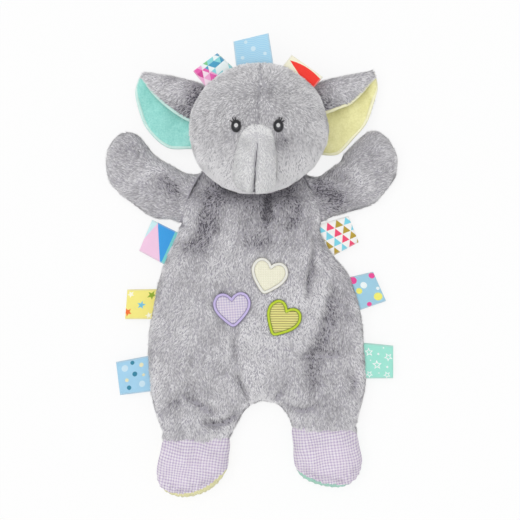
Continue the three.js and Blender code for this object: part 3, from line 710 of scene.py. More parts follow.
def folds(flat, rows):
    """Adds up soft ridges and valleys: each row has a path, a height and a half width."""
    total = np.zeros(len(flat))
    for path, height, half in rows:
        gap, along = nearest(flat, curve(path, 3.0))
        total += height * FOLD_STRENGTH * bell(gap, half) * (0.25 + 0.75 * np.sin(np.pi * along) ** 0.5)
    return total


# Hearts: places are shared by the torso, which is pressed down under them
HEART_HALF = ((0, 0.31), (0.10, 0.435), (0.25, 0.5), (0.405, 0.44), (0.497, 0.25), (0.475, 0.04),
              (0.37, -0.15), (0.22, -0.325), (0.08, -0.462), (0, -0.5))
HEARTS = {
    "cream": dict(centre=(9.2, -11.7), width=23.4, height=21.6, turn=-16),
    "lilac": dict(centre=(-15.6, -34.3), width=24, height=21.6, turn=4),
    "green": dict(centre=(18.3, -41.4), width=22.4, height=22, turn=-30),
}


def heart_loop(centre, width, height, turn):
    half = np.array(HEART_HALF)
    whole = curve(np.vstack([half, half[-2::-1] * (-1, 1)]), 0.005)
    along = np.linspace(0, len(whole) - 1, 160, endpoint=False)
    x, y = (np.interp(along, np.arange(len(whole)), axis) for axis in whole.T)
    return centre + turned(np.stack([x * width, y * height], axis=1), math.radians(turn))


heart_loops = {name: heart_loop(**row) for name, row in HEARTS.items()}


def heart_gap(flat):
    """Distance outside the nearest heart, 0 inside."""
    gaps = [np.where(inside(flat, loop), 0, gap_to(flat, closed(loop))) for loop in heart_loops.values()]
    return np.min(gaps, axis=0)


# Torso and legs: one skin, parted at the hips
LEFT_SHOULDER = ((-33, 66), (-40.5, 55.5), (-47, 41.5), (-51.1, 25.9))
RIGHT_SHOULDER = ((46.2, 26.6), (42.6, 41), (36.5, 54.5), (31, 64.5))
BODY_RUNS = (
    ("cut", LEFT_SHOULDER),
    ("edge", ((-51.1, 25.9), (-55.3, 20.3), (-60.2, 8), (-64.1, -2.8), (-69.3, -20.3), (-73.6, -44.1),
              (-75.3, -64.4), (-74.6, -80), (-73.2, -92.8), (-69.3, -112), (-64.4, -126))),
    ("cut", ((-64.4, -126), (-52, -128.4), (-38, -128.2), (-26, -126.6), (-17.5, -123.9))),
    ("edge", ((-17.5, -123.9), (-11.5, -115.5), (-5.5, -106.2), (5.25, -99.3))),
    ("edge", ((5.25, -99.3), (14.5, -102.2), (21, -108.5), (25.9, -115.5))),
    ("cut", ((25.9, -115.5), (36, -118.4), (48, -120.6), (60, -121.6), (70.8, -121.4))),
    ("edge", ((70.8, -121.4), (73.8, -113.1), (77.2, -93.8), (78.2, -83), (76.7, -57.8), (74.2, -34.7),
              (67.2, -12.3), (57.9, 2.4), (50, 15.5), (46.2, 26.6))),
    ("cut", RIGHT_SHOULDER),
    ("edge", ((31, 64.5), (18, 60.6), (-1, 59.6), (-20, 60.8), (-33, 66))),
)
BODY_FOLDS = (
    (((36.4, 49), (43.4, 32.9), (39.9, 10.5), (33.6, -14), (29.4, -30.1)), 1.5, 4.2),
    (((41, 19), (39.2, -1.4), (34.5, -25.5)), -2.4, 2.8),
    (((50.4, 3.5), (46.9, -21), (39.9, -40.6), (29.4, -50.4)), 1.4, 4),
    (((54.6, -12), (50.4, -42), (42, -63), (39.2, -90)), -1.6, 6),
    (((30, -64.4), (46, -64.8), (63, -63)), -1, 3.5),
    (((59.5, -26), (63.5, -34), (66.5, -42)), -0.9, 4),
    (((67.9, -75), (67.5, -84), (66.5, -92)), -1.1, 3),
    (((-33.6, 56), (-34.3, 31.5), (-39.5, 8.1)), -1, 7),
    (((-50, 9.8), (-41, 10.6), (-31, 9.8)), -1.2, 5.5),
    (((-9, 16), (2, 12.5), (14, 15.5)), -1.1, 6.5),
    (((9.6, 47), (8.8, 36), (7.7, 25.5)), -2.5, 3),
    (((28, 38.5), (27, 30), (24.5, 21)), -1, 4.2),
    (((-16, 40), (-17, 26), (-18, 12)), 1.1, 6),
    (((-11.9, -45.5), (-14, -59.5), (-12.6, -70)), -1, 2.5),
    (((-12.6, -77.5), (-8, -89.6), (-4.5, -96.6)), -1.7, 2.4),
    (((-49, -93), (-36.4, -100.5), (-28, -105.4)), -1.1, 3),
    (((-63, -107), (-57.5, -100), (-52.5, -93.5)), -1.1, 3.2),
    (((-36, -112.9), (-23.1, -112), (-12.6, -107.4)), -2.3, 2.6),
    (((18.6, -99), (30.1, -102.9), (41.6, -101)), -1.5, 3),
    (((22.5, -84), (17.5, -91.5), (12.5, -96.5)), -1.2, 2.6),
    (((-3.5, -49), (6, -54), (29.4, -53)), 0.9, 4),
    (((-4.5, -80), (-1.5, -88), (2, -95)), 1.1, 5),
    (((-58, -30), (-48, -44), (-44, -58)), 0.6, 7),
)
# Painted light on ridges and painted shade in creases of the torso's pile
BODY_LIGHT_AND_SHADE_SPOTS = (
    (-36, 50, 7, 0.28), (-43, 36, 8, 0.38), (-49, 23, 7, 0.24), (36, 46, 6, 0.16),
    (28, 20, 9, 0.16), (-44, -8, 13, -0.17), (39, -9, 9, -0.28), (56, -58, 10, -0.24),
    (-16, -103, 9, -0.22), (28, -113, 8, -0.17), (28, -82, 14, -0.1), (-5, -85, 14, -0.08),
    (-61, -106, 9, 0.12), (4, -36, 14, 0.09), (2, 13, 12, -0.08),
    (-31, -38, 9, 0.08),
)
# How far the stuffed front and back stand off the seam
BODY_FRONT = 12.2
BODY_BACK = 5.6
body_outline = Outline(BODY_RUNS, 2.5, inset=1.7)
left_shoulder, *hems, right_shoulder = body_outline.cuts
shoulders = [left_shoulder, right_shoulder]


def body_uneven(flat):
    return 1.3 * drift(flat, 26.0, 11) + 0.8 * drift(flat, 11.0, 12)


def body_front(flat, edge):
    height = BODY_FRONT * rounded(edge, 19.0)
    height *= crease(flat, shoulders, 0.34, 5.0) * crease(flat, hems, 0.28, 6.0)
    height *= 1 - 0.12 * smoothstep(-88, -112, flat[:, 1])
    # Under the chin, room for the head to nod
    height *= 1 - 0.74 * smoothstep(36, 54, flat[:, 1])
    heart = heart_gap(flat)
    uneven = body_uneven(flat) * (0.25 + 0.75 * smoothstep(1.0, 7.0, heart))
    return height + smoothstep(0, 10, edge) * (folds(flat, BODY_FOLDS) + uneven - 1.3 * bell(heart, 2.6))


def body_back(flat, edge):
    height = BODY_BACK * rounded(edge, 15.0)
    height *= crease(flat, shoulders, 0.3, 5.0) * crease(flat, hems, 0.25, 6.0)
    return height - 0.5 * smoothstep(0, 10, edge) * (1 + drift(flat, 18.0, 13))


def downward(place, normal):
    outward = 0.35 * np.sign(place[:, 0]) * smoothstep(30, 75, np.abs(place[:, 0]))
    return np.column_stack([outward, np.full(len(place), -1.0), np.zeros(len(place))])


def facing_up(place, normal):
    return (normal[:, 2] > -0.25) & ((normal[:, 2] < 0.2) | (heart_gap(place) > 0.35))


def facing_down(place, normal):
    return normal[:, 2] <= -0.25


def body_shading(place, normal):
    flat = place[:, :2]
    x, y = flat.T
    # Painted shadow under the chin
    chin = bell(y - 54, 13) * smoothstep(37, 20, np.abs(x))
    # The legs a little lighter, the chest darker towards the head
    lower = 0.05 * smoothstep(-95, -112, y) - 0.24 * smoothstep(-8, 32, y)
    # Folds painted darker in their valleys and lighter on their ridges: painted shade and light
    waves = np.clip(0.14 * (folds(flat, BODY_FOLDS) + body_uneven(flat)), -0.38, 0.2)
    # Painted light along the outline, and painted shade in a ring round the hearts
    rim = 0.14 * bell(body_outline.edge_distance(flat), 7) - 0.12 * bell(heart_gap(flat), 1.6)
    return lower - 0.75 * chin + (waves + rim + spots(flat, BODY_LIGHT_AND_SHADE_SPOTS)) * (normal[:, 2] > 0)


body = Pillow(body_outline, 2.6, body_front, body_back, row_y=HIP_Y)
body.swell(pressure=1.5, slack=0.02, cap=1.2)
dress("torso", body, "torso", downward,
      (("_pile", 101, dict(keep=facing_up, tone=body_shading)), ("_back_pile", 102, dict(keep=facing_down))),
      lambda x, y, z: y > HIP_Y)
for name, seed, chosen in (("left_leg", 114, lambda x, y, z: (y <= HIP_Y) & (x < CROTCH_X)),
                           ("right_leg", 115, lambda x, y, z: (y <= HIP_Y) & (x >= CROTCH_X))):
    dress(name, body, ("torso", name, (0, HIP_Y, SEAM_Z), (0, HIP_Y - 13, SEAM_Z)), downward,
          [("_pile", seed, dict(tone=body_shading))], chosen)


# Arms
LEFT_ARM = ((-51.1, 25.9), (-64.1, 26.9), (-72.1, 28.9), (-85.8, 38.2), (-95.4, 45.8), (-102.2, 54.6),
            (-104.2, 65.8), (-102.6, 77.9), (-96.2, 86.8), (-88.2, 89.6), (-81.9, 88.2), (-77, 84.4),
            (-67.3, 74.7), (-56, 67.5), (-43, 61), (-33, 66))
RIGHT_ARM = ((31, 64.5), (42, 59.6), (57.1, 70), (60.8, 74.9), (74, 86.4), (81.2, 90.4), (88, 88.9),
             (94.9, 82.7), (99.5, 72.3), (100.1, 63.7), (97.3, 53.9), (87.5, 42), (79.6, 36.3),
             (62.7, 30.9), (46.2, 26.6))
# Each arm's spots are patches of painted shade: x, y, a radius and an amount
ARMS = {
    "left": dict(edge=LEFT_ARM, cut=LEFT_SHOULDER, joint=(-48.1, 41.9), out=(-1, 0.28), seed=121, folds=(
        (((-66, 58.6), (-58.1, 51.1), (-50.4, 44.5)), -1.5, 4.2),
        (((-82, 54), (-70, 60.9), (-59.5, 64.4)), 0.9, 4),
        (((-92, 74), (-84, 76), (-77, 74)), -0.6, 5)), spots=((-60, 43, 10, -0.16),)),
    "right": dict(edge=RIGHT_ARM, cut=RIGHT_SHOULDER, joint=(43.7, 41.9), out=(1, 0.3), seed=122, folds=(
        (((38, 53), (49, 47.6), (60.5, 41.5)), -2, 4.6),
        (((46, 60), (56, 58), (66, 56)), -0.9, 4),
        (((60, 64), (70, 58), (80, 49)), 0.9, 4.5)), spots=((55, 37, 12, -0.28), (84, 62, 14, -0.08))),
}


ARM_FRONT = 10.8
ARM_BACK = 5.6


def make_arm(name, row):
    outline = Outline((("edge", row["edge"]), ("cut", row["cut"])), 2.2, inset=1.6)

    def front(flat, edge):
        height = ARM_FRONT * rounded(edge, 17.0) * crease(flat, outline.cuts, 0.34, 5.0)
        uneven = 0.5 * drift(flat, 12.0, row["seed"])
        return height + smoothstep(0, 8, edge) * (folds(flat, row["folds"]) + uneven)

    def back(flat, edge):
        return ARM_BACK * rounded(edge, 14.0) * crease(flat, outline.cuts, 0.3, 5.0)

    def tone(place, normal):
        # Folds painted darker in their valleys and lighter on their ridges, and the spots darker: painted
        # shade and light
        waves = np.clip(0.14 * folds(place, row["folds"]), -0.38, 0.2)
        return (waves - 0.06 + spots(place, row["spots"])) * (normal[:, 2] > 0)

    arm = Pillow(outline, 2.3, front, back)
    arm.swell(pressure=3.0, slack=0.03, cap=1.6)
    (x1, y1), (x2, y2) = row["cut"][0], row["cut"][-1]
    across = unit(np.array([y1 - y2, x2 - x1]))
    across = across * np.sign(across @ row["out"])
    bodies = ("torso", name, (*row["joint"], SEAM_Z), (*(row["joint"] + across * 12), SEAM_Z))
    piles = [("_pile", row["seed"], dict(back_spacing=0.85, tone=tone))]
    dress(name, arm, bodies, combed(*row["out"]), piles)


for side, row in ARMS.items():
    make_arm(side + "_arm", row)


# Feet
THREAD_PITCH = 0.37
SOLE_RIBS = 1.1
FOOT_FRONT = 13.9
FOOT_BACK = 6.7


def gingham_material(name, ground, tint, pitch, share):
    shader = Shader(name, 0.8, sheen=0.15, specular=0.2)
    x, y = shader.map("cloth")
    wobble = (shader.noise(900.0) - 0.5) * 0.3
    first, second = (((((axis / pitch + wobble).fract() - 0.5).abs() - share / 2) * 5.0 + 0.5).clamped()
                     for axis in (x, y))
    depth = (first + second) * 0.5
    cloth = shader.mix(depth, ground, tint)
    shader.paint(shader.mix((shader.noise(260.0) - 0.5) * 0.6 + 0.1, cloth, (224, 202, 226)))
    return shader.bump((x.wave(THREAD_PITCH) + y.wave(THREAD_PITCH)) * 0.25 - depth * 0.8, 0.00025, 0.8)


def velour_material(name, base, deep, ribs=0.0):
    shader = Shader(name, 0.85, sheen=0.3, specular=0.15)
    cloudy = shader.noise(180.0, 5.0)
    fine = shader.noise(2200.0, 2.0)
    share = (cloudy * 0.7 + fine * 0.5) + (shader.noise(800.0, 2.0) - 0.5) * 0.7 - 0.1
    shader.paint(shader.mix(share, deep, base))
    height = fine * 0.5 + shader.map("cloth")[0].wave(ribs) * 0.4 if ribs else fine
    return shader.bump(height, 0.0003, 0.8)


foot_gingham = gingham_material("foot_gingham", (252, 247, 253), (192, 172, 210), pitch=1.95, share=0.6)
left_sole = velour_material("left_sole_velour", (243, 240, 186), (222, 216, 150), ribs=SOLE_RIBS)
right_sole = velour_material("right_sole_velour", (176, 228, 208), (140, 204, 182), ribs=SOLE_RIBS)
FEET = {
    "left": dict(
        edge=((-64, -120.5), (-64.8, -127), (-67.4, -138), (-68.7, -148.4), (-66.5, -158),
              (-57.9, -164.6), (-45.2, -165.9), (-30.1, -160.1), (-20, -148.5), (-17.4, -138),
              (-17.5, -127), (-18.6, -119.5)),
        sole=((-66.8, -157.2), (-55.6, -160.4), (-45.1, -160.2), (-34.7, -156.2), (-26.4, -150.4),
              (-18, -143)),
        hem=-126, ankle=-127.6, seed=131, material=left_sole, slot="sole_yellow", lie=0.15),
    "right": dict(
        edge=((27.8, -111.5), (26.4, -118), (26.2, -131), (27.4, -143), (32.9, -152), (46, -157.8),
              (61, -158.8), (71, -152.5), (74.9, -141.9), (73.4, -130), (70.9, -120.4), (69.4, -113.5)),
        sole=((27.6, -143.6), (34.4, -147.6), (43.1, -151.6), (52.2, -153.8), (61.2, -154.2), (69, -154.2)),
        hem=-119, ankle=-120.1, seed=132, material=right_sole, slot="sole_mint", lie=-0.15),
}


def make_foot(side, row):
    outline = Outline((("edge", row["edge"]), ("cut", (row["edge"][-1], row["edge"][0]))), 1.5)
    line = curve(row["sole"], 1.5)
    centre = np.array(row["edge"]).mean(0)
    hem, seed, ankle = row["hem"], row["seed"], row["ankle"]

    def gathers(flat):
        """From -1 to 1, in waves that run in from the seam round the toes."""
        x, y = (flat - centre).T
        toes = smoothstep(hem - 16, hem - 32, flat[:, 1])
        return toes * np.sin(np.arctan2(y, x) * 34 + 2.5 * drift(flat, 9.0, seed))

    def front(flat, edge):
        height = FOOT_FRONT * rounded(edge, 17.0) * (0.5 + 0.5 * smoothstep(-5, 15, hem - flat[:, 1]))
        puckers = 1.6 * gathers(flat) * bell(edge - 5.0, 4.5)
        soft = smoothstep(0, 7, edge) * (0.8 * drift(flat, 8.0, seed + 1) + puckers)
        return height + soft - 0.55 * bell(gap_to(flat, line), 0.9)

    def back(flat, edge):
        return FOOT_BACK * rounded(edge, 15.0) * (0.6 + 0.4 * smoothstep(-5, 10, hem - flat[:, 1]))

    foot = Pillow(outline, 1.6, front, back, line=line)
    away = foot.points[:, :2] - (centre[0], hem)
    foot.points[:, :2] = (centre[0], hem) + away * (1 - 0.05 * smoothstep(0, -12, away[:, 1]))[:, None]
    foot.swell(pressure=4.0, slack=0.05, cap=2.5)
    sewn = foot.sewn[:, :2]
    ripple = 0.6 * gathers(sewn) * bell(outline.edge_distance(sewn), 3.0)
    foot.points[:, :2] += unit(sewn - centre) * ripple[:, None]
    first, last = (index_near(outline.loop, end) for end in (line[0], line[-1]))
    toe = np.vstack([outline.loop[first:last + 1], line[-2:0:-1]])
    below = inside(foot.sewn[foot.front].mean(1), toe)
    bodies = (side + "_leg", side + "_foot", (0, ankle + 1.5, SEAM_Z), (0, ankle - 9, SEAM_Z))
    points, triangles = compact(foot.points, np.vstack([foot.front[~below], foot.walls]))
    upper = make_object(side + "_foot_gingham", points, triangles, foot_gingham)
    wander = np.stack([drift(points, 10.0, seed + 2), drift(points, 10.0, seed + 3)], axis=1)
    set_map(upper, "cloth", turned(points[:, :2], row["lie"]) + 0.9 * wander)
    attach(upper, bodies, [side + "_foot_upper", side + "_foot_filling"])
    points, triangles = compact(foot.points, np.vstack([foot.front[below], foot.back]))
    sole = make_object(side + "_foot_sole_cloth", points, triangles, row["material"])
    set_map(sole, "cloth", points[:, :2])
    attach(sole, bodies, [side + "_foot_sole"])


for side, row in FEET.items():
    make_foot(side, row)

# Head
EYES = {"left": -12.3, "right": 15.6}
EYE_Y = 88.2
WHORL = (6.0, 117.0)
FACE_SEAM = np.array([(4.0, 134.0), (4.3, 119.3), (2.6, 104.0), (1.6, 91.0)])
TRUNK_EDGE = np.array([(-13.0, 52.0), (-11.5, 62.0), (-9.5, 72.0), (-7.0, 79.0), (-4.0, 84.0), (2.0, 86.5),
                       (7.0, 84.5), (10.5, 79.0), (13.5, 72.0), (16.5, 62.0), (18.0, 52.0)])
CHEEKS = ((-22.0, 66.0, 13.0, 1.6), (27.0, 66.0, 13.0, 1.6))
# Darker patches on the face: the two beside the trunk are painted shadow, and one lies by the whorl
FACE_SPOTS = ((18.0, 78.5, 7.0, -0.3), (9.8, 115.0, 6.0, -0.14), (-20.0, 80.0, 6.0, -0.1))


def head_form():
    """A fine sphere, pressed into the head's form."""
    ball = bmesh.new()
    bmesh.ops.create_icosphere(ball, subdivisions=5, radius=1.0)
    ball.verts.ensure_lookup_table()
    sphere = np.array([tuple(vertex.co) for vertex in ball.verts])
    triangles = np.array([[vertex.index for vertex in face.verts] for face in ball.faces])
    ball.free()
    height = np.sign(sphere[:, 2]) * np.abs(sphere[:, 2]) ** HEAD_POWER
    points = HEAD + HEAD_HALF * sphere
    points[:, 2] = HEAD[2] + np.where(height > 0, HEAD_HALF[2], HEAD_BACK_DEPTH) * height
    points[:, 0] -= 2.2 * smoothstep(82, 52, points[:, 1])
    sockets = spots(points, [(x, EYE_Y, 5.0, 1.0) for x in EYES.values()])
    front = spots(points, CHEEKS) - 1.1 * bell(gap_to(points, FACE_SEAM), 1.5) - sockets
    front = front * smoothstep(0.15, 0.5, sphere[:, 2])
    joined = 0.5 * bell(points[:, 2] - HEAD[2], 1.6)
    swell = 0.5 * drift(points, 17.0, 21) + front - joined
    return points + unit(sphere / HEAD_HALF) * swell[:, None], triangles


def head_comb(place, normal):
    """Pile lies away from a whorl on the forehead, down and outwards."""
    x, y, _ = place.T
    return np.column_stack([(x - WHORL[0]) * 0.9, y - WHORL[1], -14.0 * (1 - np.clip(normal[:, 2], 0, 1))])


def face_up(place, normal):
    """The front, clear of the eyes, of the centre seam and of what the trunk covers."""
    x, y, _ = place.T
    up = normal[:, 2]
    kept = up > -0.1
    for eye_x in EYES.values():
        kept &= (((x - eye_x) / 3.3) ** 2 + ((y - EYE_Y) / 4.1) ** 2 > 1.0) | (up < 0)
    on_seam = (gap_to(place, FACE_SEAM) < 0.6) & (up > 0.2)
    under_trunk = inside(place, TRUNK_EDGE) & (y > 75) & (up > 0)
    return kept & ~on_seam & ~under_trunk


def face_shading(place, normal):
    x, y, _ = place.T
    # The lower face painted lighter, as painted sheen of the nap, and the right side painted lighter, as
    # painted light
    light = 0.26 * smoothstep(82, 58, y) * (normal[:, 2] > -0.2) + 0.12 * smoothstep(30, 46, x)
    # Pile beside the centre seam painted darker: painted shade in the parting
    parting = bell(gap_to(place, FACE_SEAM), 1.2) * (normal[:, 2] > 0) * (0.7 + 0.3 * drift(place, 4.0, 23))
    # Painted light beside the trunk, against the shadow it casts
    beside_trunk = bell(gap_to(place, TRUNK_EDGE), 3.2) * smoothstep(78, 70, y)
    return light + spots(place, FACE_SPOTS) - 0.42 * parting + 0.28 * beside_trunk


def face_grain(place):
    return 0.28 + 0.3 * smoothstep(70, 100, place[:, 1])


head_points, head_triangles = head_form()
head = make_object("head_skin", head_points, head_triangles, face_backing)
head_pile = grow("head_pile", head_points, head_triangles, face_pile, head_comb, 141, keep=face_up,
                 spacing=0.7, length=2.5, grain=face_grain, tone=face_shading)
head_back_pile = grow("head_back_pile", head_points, head_triangles, plush_pile, head_comb, 142, length=2.2,
                      keep=lambda place, normal: normal[:, 2] <= -0.1)
attach(head, "head",
       ("face_left_panel", "face_right_panel", "head_back_panel", "head_filling"))
attach(head_pile, "head")
attach(head_back_pile, "head")

# Trunk
TRUNK_RINGS = 46
TRUNK_SIDES = 96
# Where the round end begins, as a share of the trunk
TRUNK_END = 0.8
TRUNK_END_REACH = 9.36
TRUNK_ROOT_RADIUS = 7.0
TRUNK_WIDENING = 6.2
# The rings along which the seam shows
TRUNK_SEAM = slice(17, 43, 2)


def trunk_form():
    """Rings along a bent axis, with a round end and a groove for the seam."""
    root = np.array([2.3, HEAD[1] - 1.5, HEAD[2] + 24.0])
    bend = np.array([1.4, HEAD[1] - 16.0, HEAD[2] + 45.5])
    tip = np.array([0.2, HEAD[1] - 35.5, HEAD[2] + 35.5])
    angle = np.linspace(0, 2 * np.pi, TRUNK_SIDES, endpoint=False)
    top = np.angle(np.exp(1j * (angle - np.pi / 2)))
    rings = []
    for share in np.linspace(0, 1, TRUNK_RINGS):
        along = min(share / TRUNK_END, 1.0)
        turn = max(share - TRUNK_END, 0) / (1 - TRUNK_END) * math.pi / 2
        heading = unit(2 * (1 - along) * (bend - root) + 2 * along * (tip - bend))
        centre = (1 - along) ** 2 * root + 2 * along * (1 - along) * bend + along ** 2 * tip
        centre = centre + heading * TRUNK_END_REACH * math.sin(turn)
        groove = 1 - 0.05 * bell(top, 0.5) - 0.32 * smoothstep(0.3, 0.55, share) * bell(top, 0.13)
        reach = (TRUNK_ROOT_RADIUS + TRUNK_WIDENING * along ** 0.8) * math.cos(turn * 0.995) * groove
        broad = 1.09 + 0.11 * math.sin(math.pi * min(along * 1.1, 1))
        across = unit(np.cross(np.array([0, 0, 1.0]), heading))
        up = np.cross(heading, across)
        rings.append(centre + across * (broad * reach * np.cos(angle))[:, None]
                     + up * (0.93 * reach * np.sin(angle))[:, None])
    return np.array(rings)


def groove_shadow_tube(rings):
    """A dark tube along the bottom of the seam's groove: painted shadow in the groove."""
    line = curve(rings[TRUNK_SEAM, TRUNK_SIDES // 4], 1.2)
    share = np.linspace(0, 1, len(line))
    line[:, 0] += 0.5 * np.sin(share * 9.0) + 0.25 * np.sin(share * 23.0)
    return tube(line, (0.2 + 0.85 * share ** 0.8)[:, None, None])


def trunk_comb(place, normal):
    x, y, _ = place.T
    top = smoothstep(78, 84, y)
    outward = 0.25 * np.sign(x - 1.4) + 0.14 * top * (x - 2.0)
    return np.column_stack([outward, 2 * top - 1.0, np.zeros(len(x))])


def beside_groove(place):
    return place[:, 0] - np.interp(place[:, 1], (50.0, 68.0, 86.0), (0.2, 1.2, 2.3))


def trunk_shading(place, normal):
    y = place[:, 1]
    # Painted light on the trunk's top, and painted shade beside the seam's groove
    return 0.3 * smoothstep(74, 88, y) - 0.4 * bell(beside_groove(place), 1.3) * smoothstep(78, 66, y)


def trunk_keep(place, normal):
    out_of_head = (((place - HEAD) / HEAD_HALF) ** 2).sum(1) > 0.97
    on_seam = (np.abs(beside_groove(place)) < 0.75) & (normal[:, 2] > -0.3) & (place[:, 1] < 78)
    return out_of_head & ~on_seam


trunk_rings = trunk_form()
trunk = make_object("trunk_skin", *capped(trunk_rings), trunk_backing)
trunk_fur = grow("trunk_pile", *capped(trunk_rings), trunk_pile, trunk_comb, 151, keep=trunk_keep, length=2.2,
                 lean=66, grain=0.5, lift=2.2, tone=trunk_shading)
# A dark strip in the seam's groove: painted shadow
groove_shadow_strip = make_object("groove_shadow_strip", *groove_shadow_tube(trunk_rings), groove_shade_material)
attach(trunk, "trunk", ("trunk_left_panel", "trunk_right_panel", "trunk_filling"))
attach(trunk_fur, "trunk")
attach(groove_shadow_strip, "trunk")

# Ears: a folded sheet of plush with a smooth lining
mint_lining = velour_material("mint_lining_velour", (184, 242, 234), (116, 198, 188))
yellow_lining = velour_material("yellow_lining_velour", (255, 252, 200), (216, 211, 138))
mint_rim = velour_material("mint_rim_velour", (222, 246, 240), (188, 228, 220))
yellow_rim = velour_material("yellow_rim_velour", (253, 251, 222), (240, 236, 190))
EARS = {
    "left": dict(
        crease=((-33.7, 118.6), (-44.8, 123), (-57.2, 125.8), (-68.2, 127.9), (-76.8, 129.2)),
        flap=((-33.7, 94.3), (-45.4, 98.2), (-57, 105.6), (-68.5, 116), (-77.2, 127.4)),
        lobe=((-36.8, 78.6), (-45.9, 78.9), (-61, 80), (-74.6, 92.8), (-80.6, 108.4), (-82.2, 118.2),
              (-80, 126.6)),
        lining=mint_lining, rim=mint_rim, slot="lining_mint", joint=(-39.5, 89.5), out=-1, pleat=0.9,
        shade=0.7, seed=161),
    "right": dict(
        crease=((39.4, 118.6), (45.5, 121.6), (55.9, 124.8), (69.7, 127.6), (81.6, 130.2)),
        flap=((39.3, 101.2), (50.3, 103.9), (58.6, 107.4), (66.8, 111.3), (82.2, 127.6)),
        lobe=((41, 75.6), (49.4, 74.6), (57.6, 75.2), (68, 86), (77, 97), (82.2, 112), (84.6, 121),
              (83.6, 127.6)),
        lining=yellow_lining, rim=yellow_rim, slot="lining_yellow", joint=(44.9, 89.5), out=1, pleat=2,
        shade=0.3, seed=162),
}
EAR_ROWS = 44
BACK_COLUMNS, FOLD_COLUMNS, FLAP_COLUMNS = 26, 12, 16
# How far each layer lies outside or inside the grid of points, and its thickness
PLUSH_OUT = 0.75
PLUSH_THICKNESS = 1.1
LINING_IN = 0.45
LINING_THICKNESS = 0.7
EAR_RIM_RADIUS = 1.25


def ear_grid(row):
    """Rows of points from root to tip: each goes up from the lobe, over the fold and down the flap."""
    paths = [curve(row[name], 1.0) for name in ("crease", "flap", "lobe")]
    paths = [spaced(path, np.linspace(0, lengths(path)[-1], EAR_ROWS)) for path in paths]
    back = np.linspace(0, 1, BACK_COLUMNS, endpoint=False)
    angle = (np.linspace(0, 1, FOLD_COLUMNS, endpoint=False) - 0.5) * np.pi
    flap = np.linspace(0, 1, FLAP_COLUMNS)
    arch = np.sin(np.pi * back)
    rows = []
    for share, crease_at, flap_at, lobe_at in zip(np.arange(EAR_ROWS) / (EAR_ROWS - 1), *paths):
        crease_z = 19.5 - 7.0 * share
        lobe_z = crease_z - 8.0 + 4.0 * share
        size = np.linalg.norm(crease_at - lobe_at)
        outward = (crease_at - lobe_at) / max(size, 1e-6)
        radius = 1.5 + 3.6 * math.sin(math.pi * min(share * 1.02, 1)) ** 0.8 * (1 - 0.3 * share)
        radius = min(radius, size * 0.3)
        centre = crease_at - outward * radius
        cup = -1.6 * arch * math.sin(math.pi * share)
        pleat = row["pleat"] * math.sin(2 * math.pi * 2.3 * share + 0.9) * arch ** 0.5
        wave = 0.9 * np.sin(back * 5.0 + share * 4.0) * arch * (1 - share)
        flat = np.vstack([lobe_at + (centre - lobe_at) * back[:, None],
                          centre + outward * radius * np.cos(angle)[:, None],
                          centre + (flap_at - centre) * flap[:, None]])
        height = np.concatenate([lobe_z + (crease_z - radius - lobe_z) * back + cup + pleat + wave,
                                 crease_z + radius * np.sin(angle),
                                 crease_z + radius * (1 - 0.5 * flap ** 2) + 0.9 * np.sin(np.pi * flap)])
        rows.append(np.column_stack([flat, height]))
    return np.array(rows)


def make_ear(side, row):
    grid = ear_grid(row)
    grid[..., 2] += 0.35 * drift(grid, 9.0, row["seed"])
    outer = sheet_normals(grid)
    outer = outer * -np.sign(outer[EAR_ROWS // 2, BACK_COLUMNS // 2, 2])
    layer = thick_sheet(grid + outer * PLUSH_OUT, PLUSH_THICKNESS)
    plush = make_object(side + "_ear_plush", *layer, plush_backing)
    layer = thick_sheet(grid - outer * LINING_IN, LINING_THICKNESS)
    lining = make_object(side + "_ear_lining_cloth", *layer, row["lining"])
    lobe_rim = grid[:, 0] + unit(grid[:, 0] - grid[:, 2]) * 0.4
    flap_rim = grid[:, -1] + unit(grid[:, -1] - grid[:, -3]) * 1.3 + outer[:, -1] * 0.7
    rim_path = np.vstack([lobe_rim, grid[-1, 1:-1], flap_rim[::-1]])[::3]
    rim = make_object(side + "_ear_rim", *tube(curve(rim_path, 1.2), EAR_RIM_RADIUS), row["rim"])
    face = grid + outer * (PLUSH_OUT + PLUSH_THICKNESS / 2)
    points = face[:, 1:-1].reshape(-1, 3)
    triangles = triangles_of(grid_faces(EAR_ROWS, grid.shape[1] - 2))
    if (vertex_normals(points, triangles) * outer[:, 1:-1].reshape(-1, 3)).sum() < 0:
        triangles = triangles[:, ::-1]
    (joint_x, joint_y), out = row["joint"], row["out"]

    def tone(place, normal):
        x, y, z = place.T
        root = (x - joint_x) * out
        # Painted light on top of the fold and painted shade below it; the shade term is painted shade where
        # the ear meets the head
        fold = 0.14 * smoothstep(110, 121, y) - 0.34 * smoothstep(113, 101, y) * smoothstep(34, 8, root)
        return fold - 0.06 - row["shade"] * smoothstep(11, -2, root) * smoothstep(20, 24, z)

    pile = grow(side + "_ear_pile", points, triangles, plush_pile, combed(out, -0.35), row["seed"] + 10,
                grain=0.52, tone=tone)
    bodies = ("head", side + "_ear", (joint_x, joint_y, 20), (joint_x + out * 9, joint_y, 20))
    attach(plush, bodies, [side + "_ear_back"])
    attach(lining, bodies, [side + "_ear_lining"])
    attach(rim, bodies)
    attach(pile, bodies)


for side, row in EARS.items():
    make_ear(side, row)


# Eyes: half widths and half heights of their parts, and how deep the stitches go
EYE_RING = (3.35, 4.15)
EYE_INNER = (2.1, 2.7)
EYE_GLINT = (1.3, 1.45)
LASH_RADIUS = 0.38
STITCH_DEPTH = 1.2


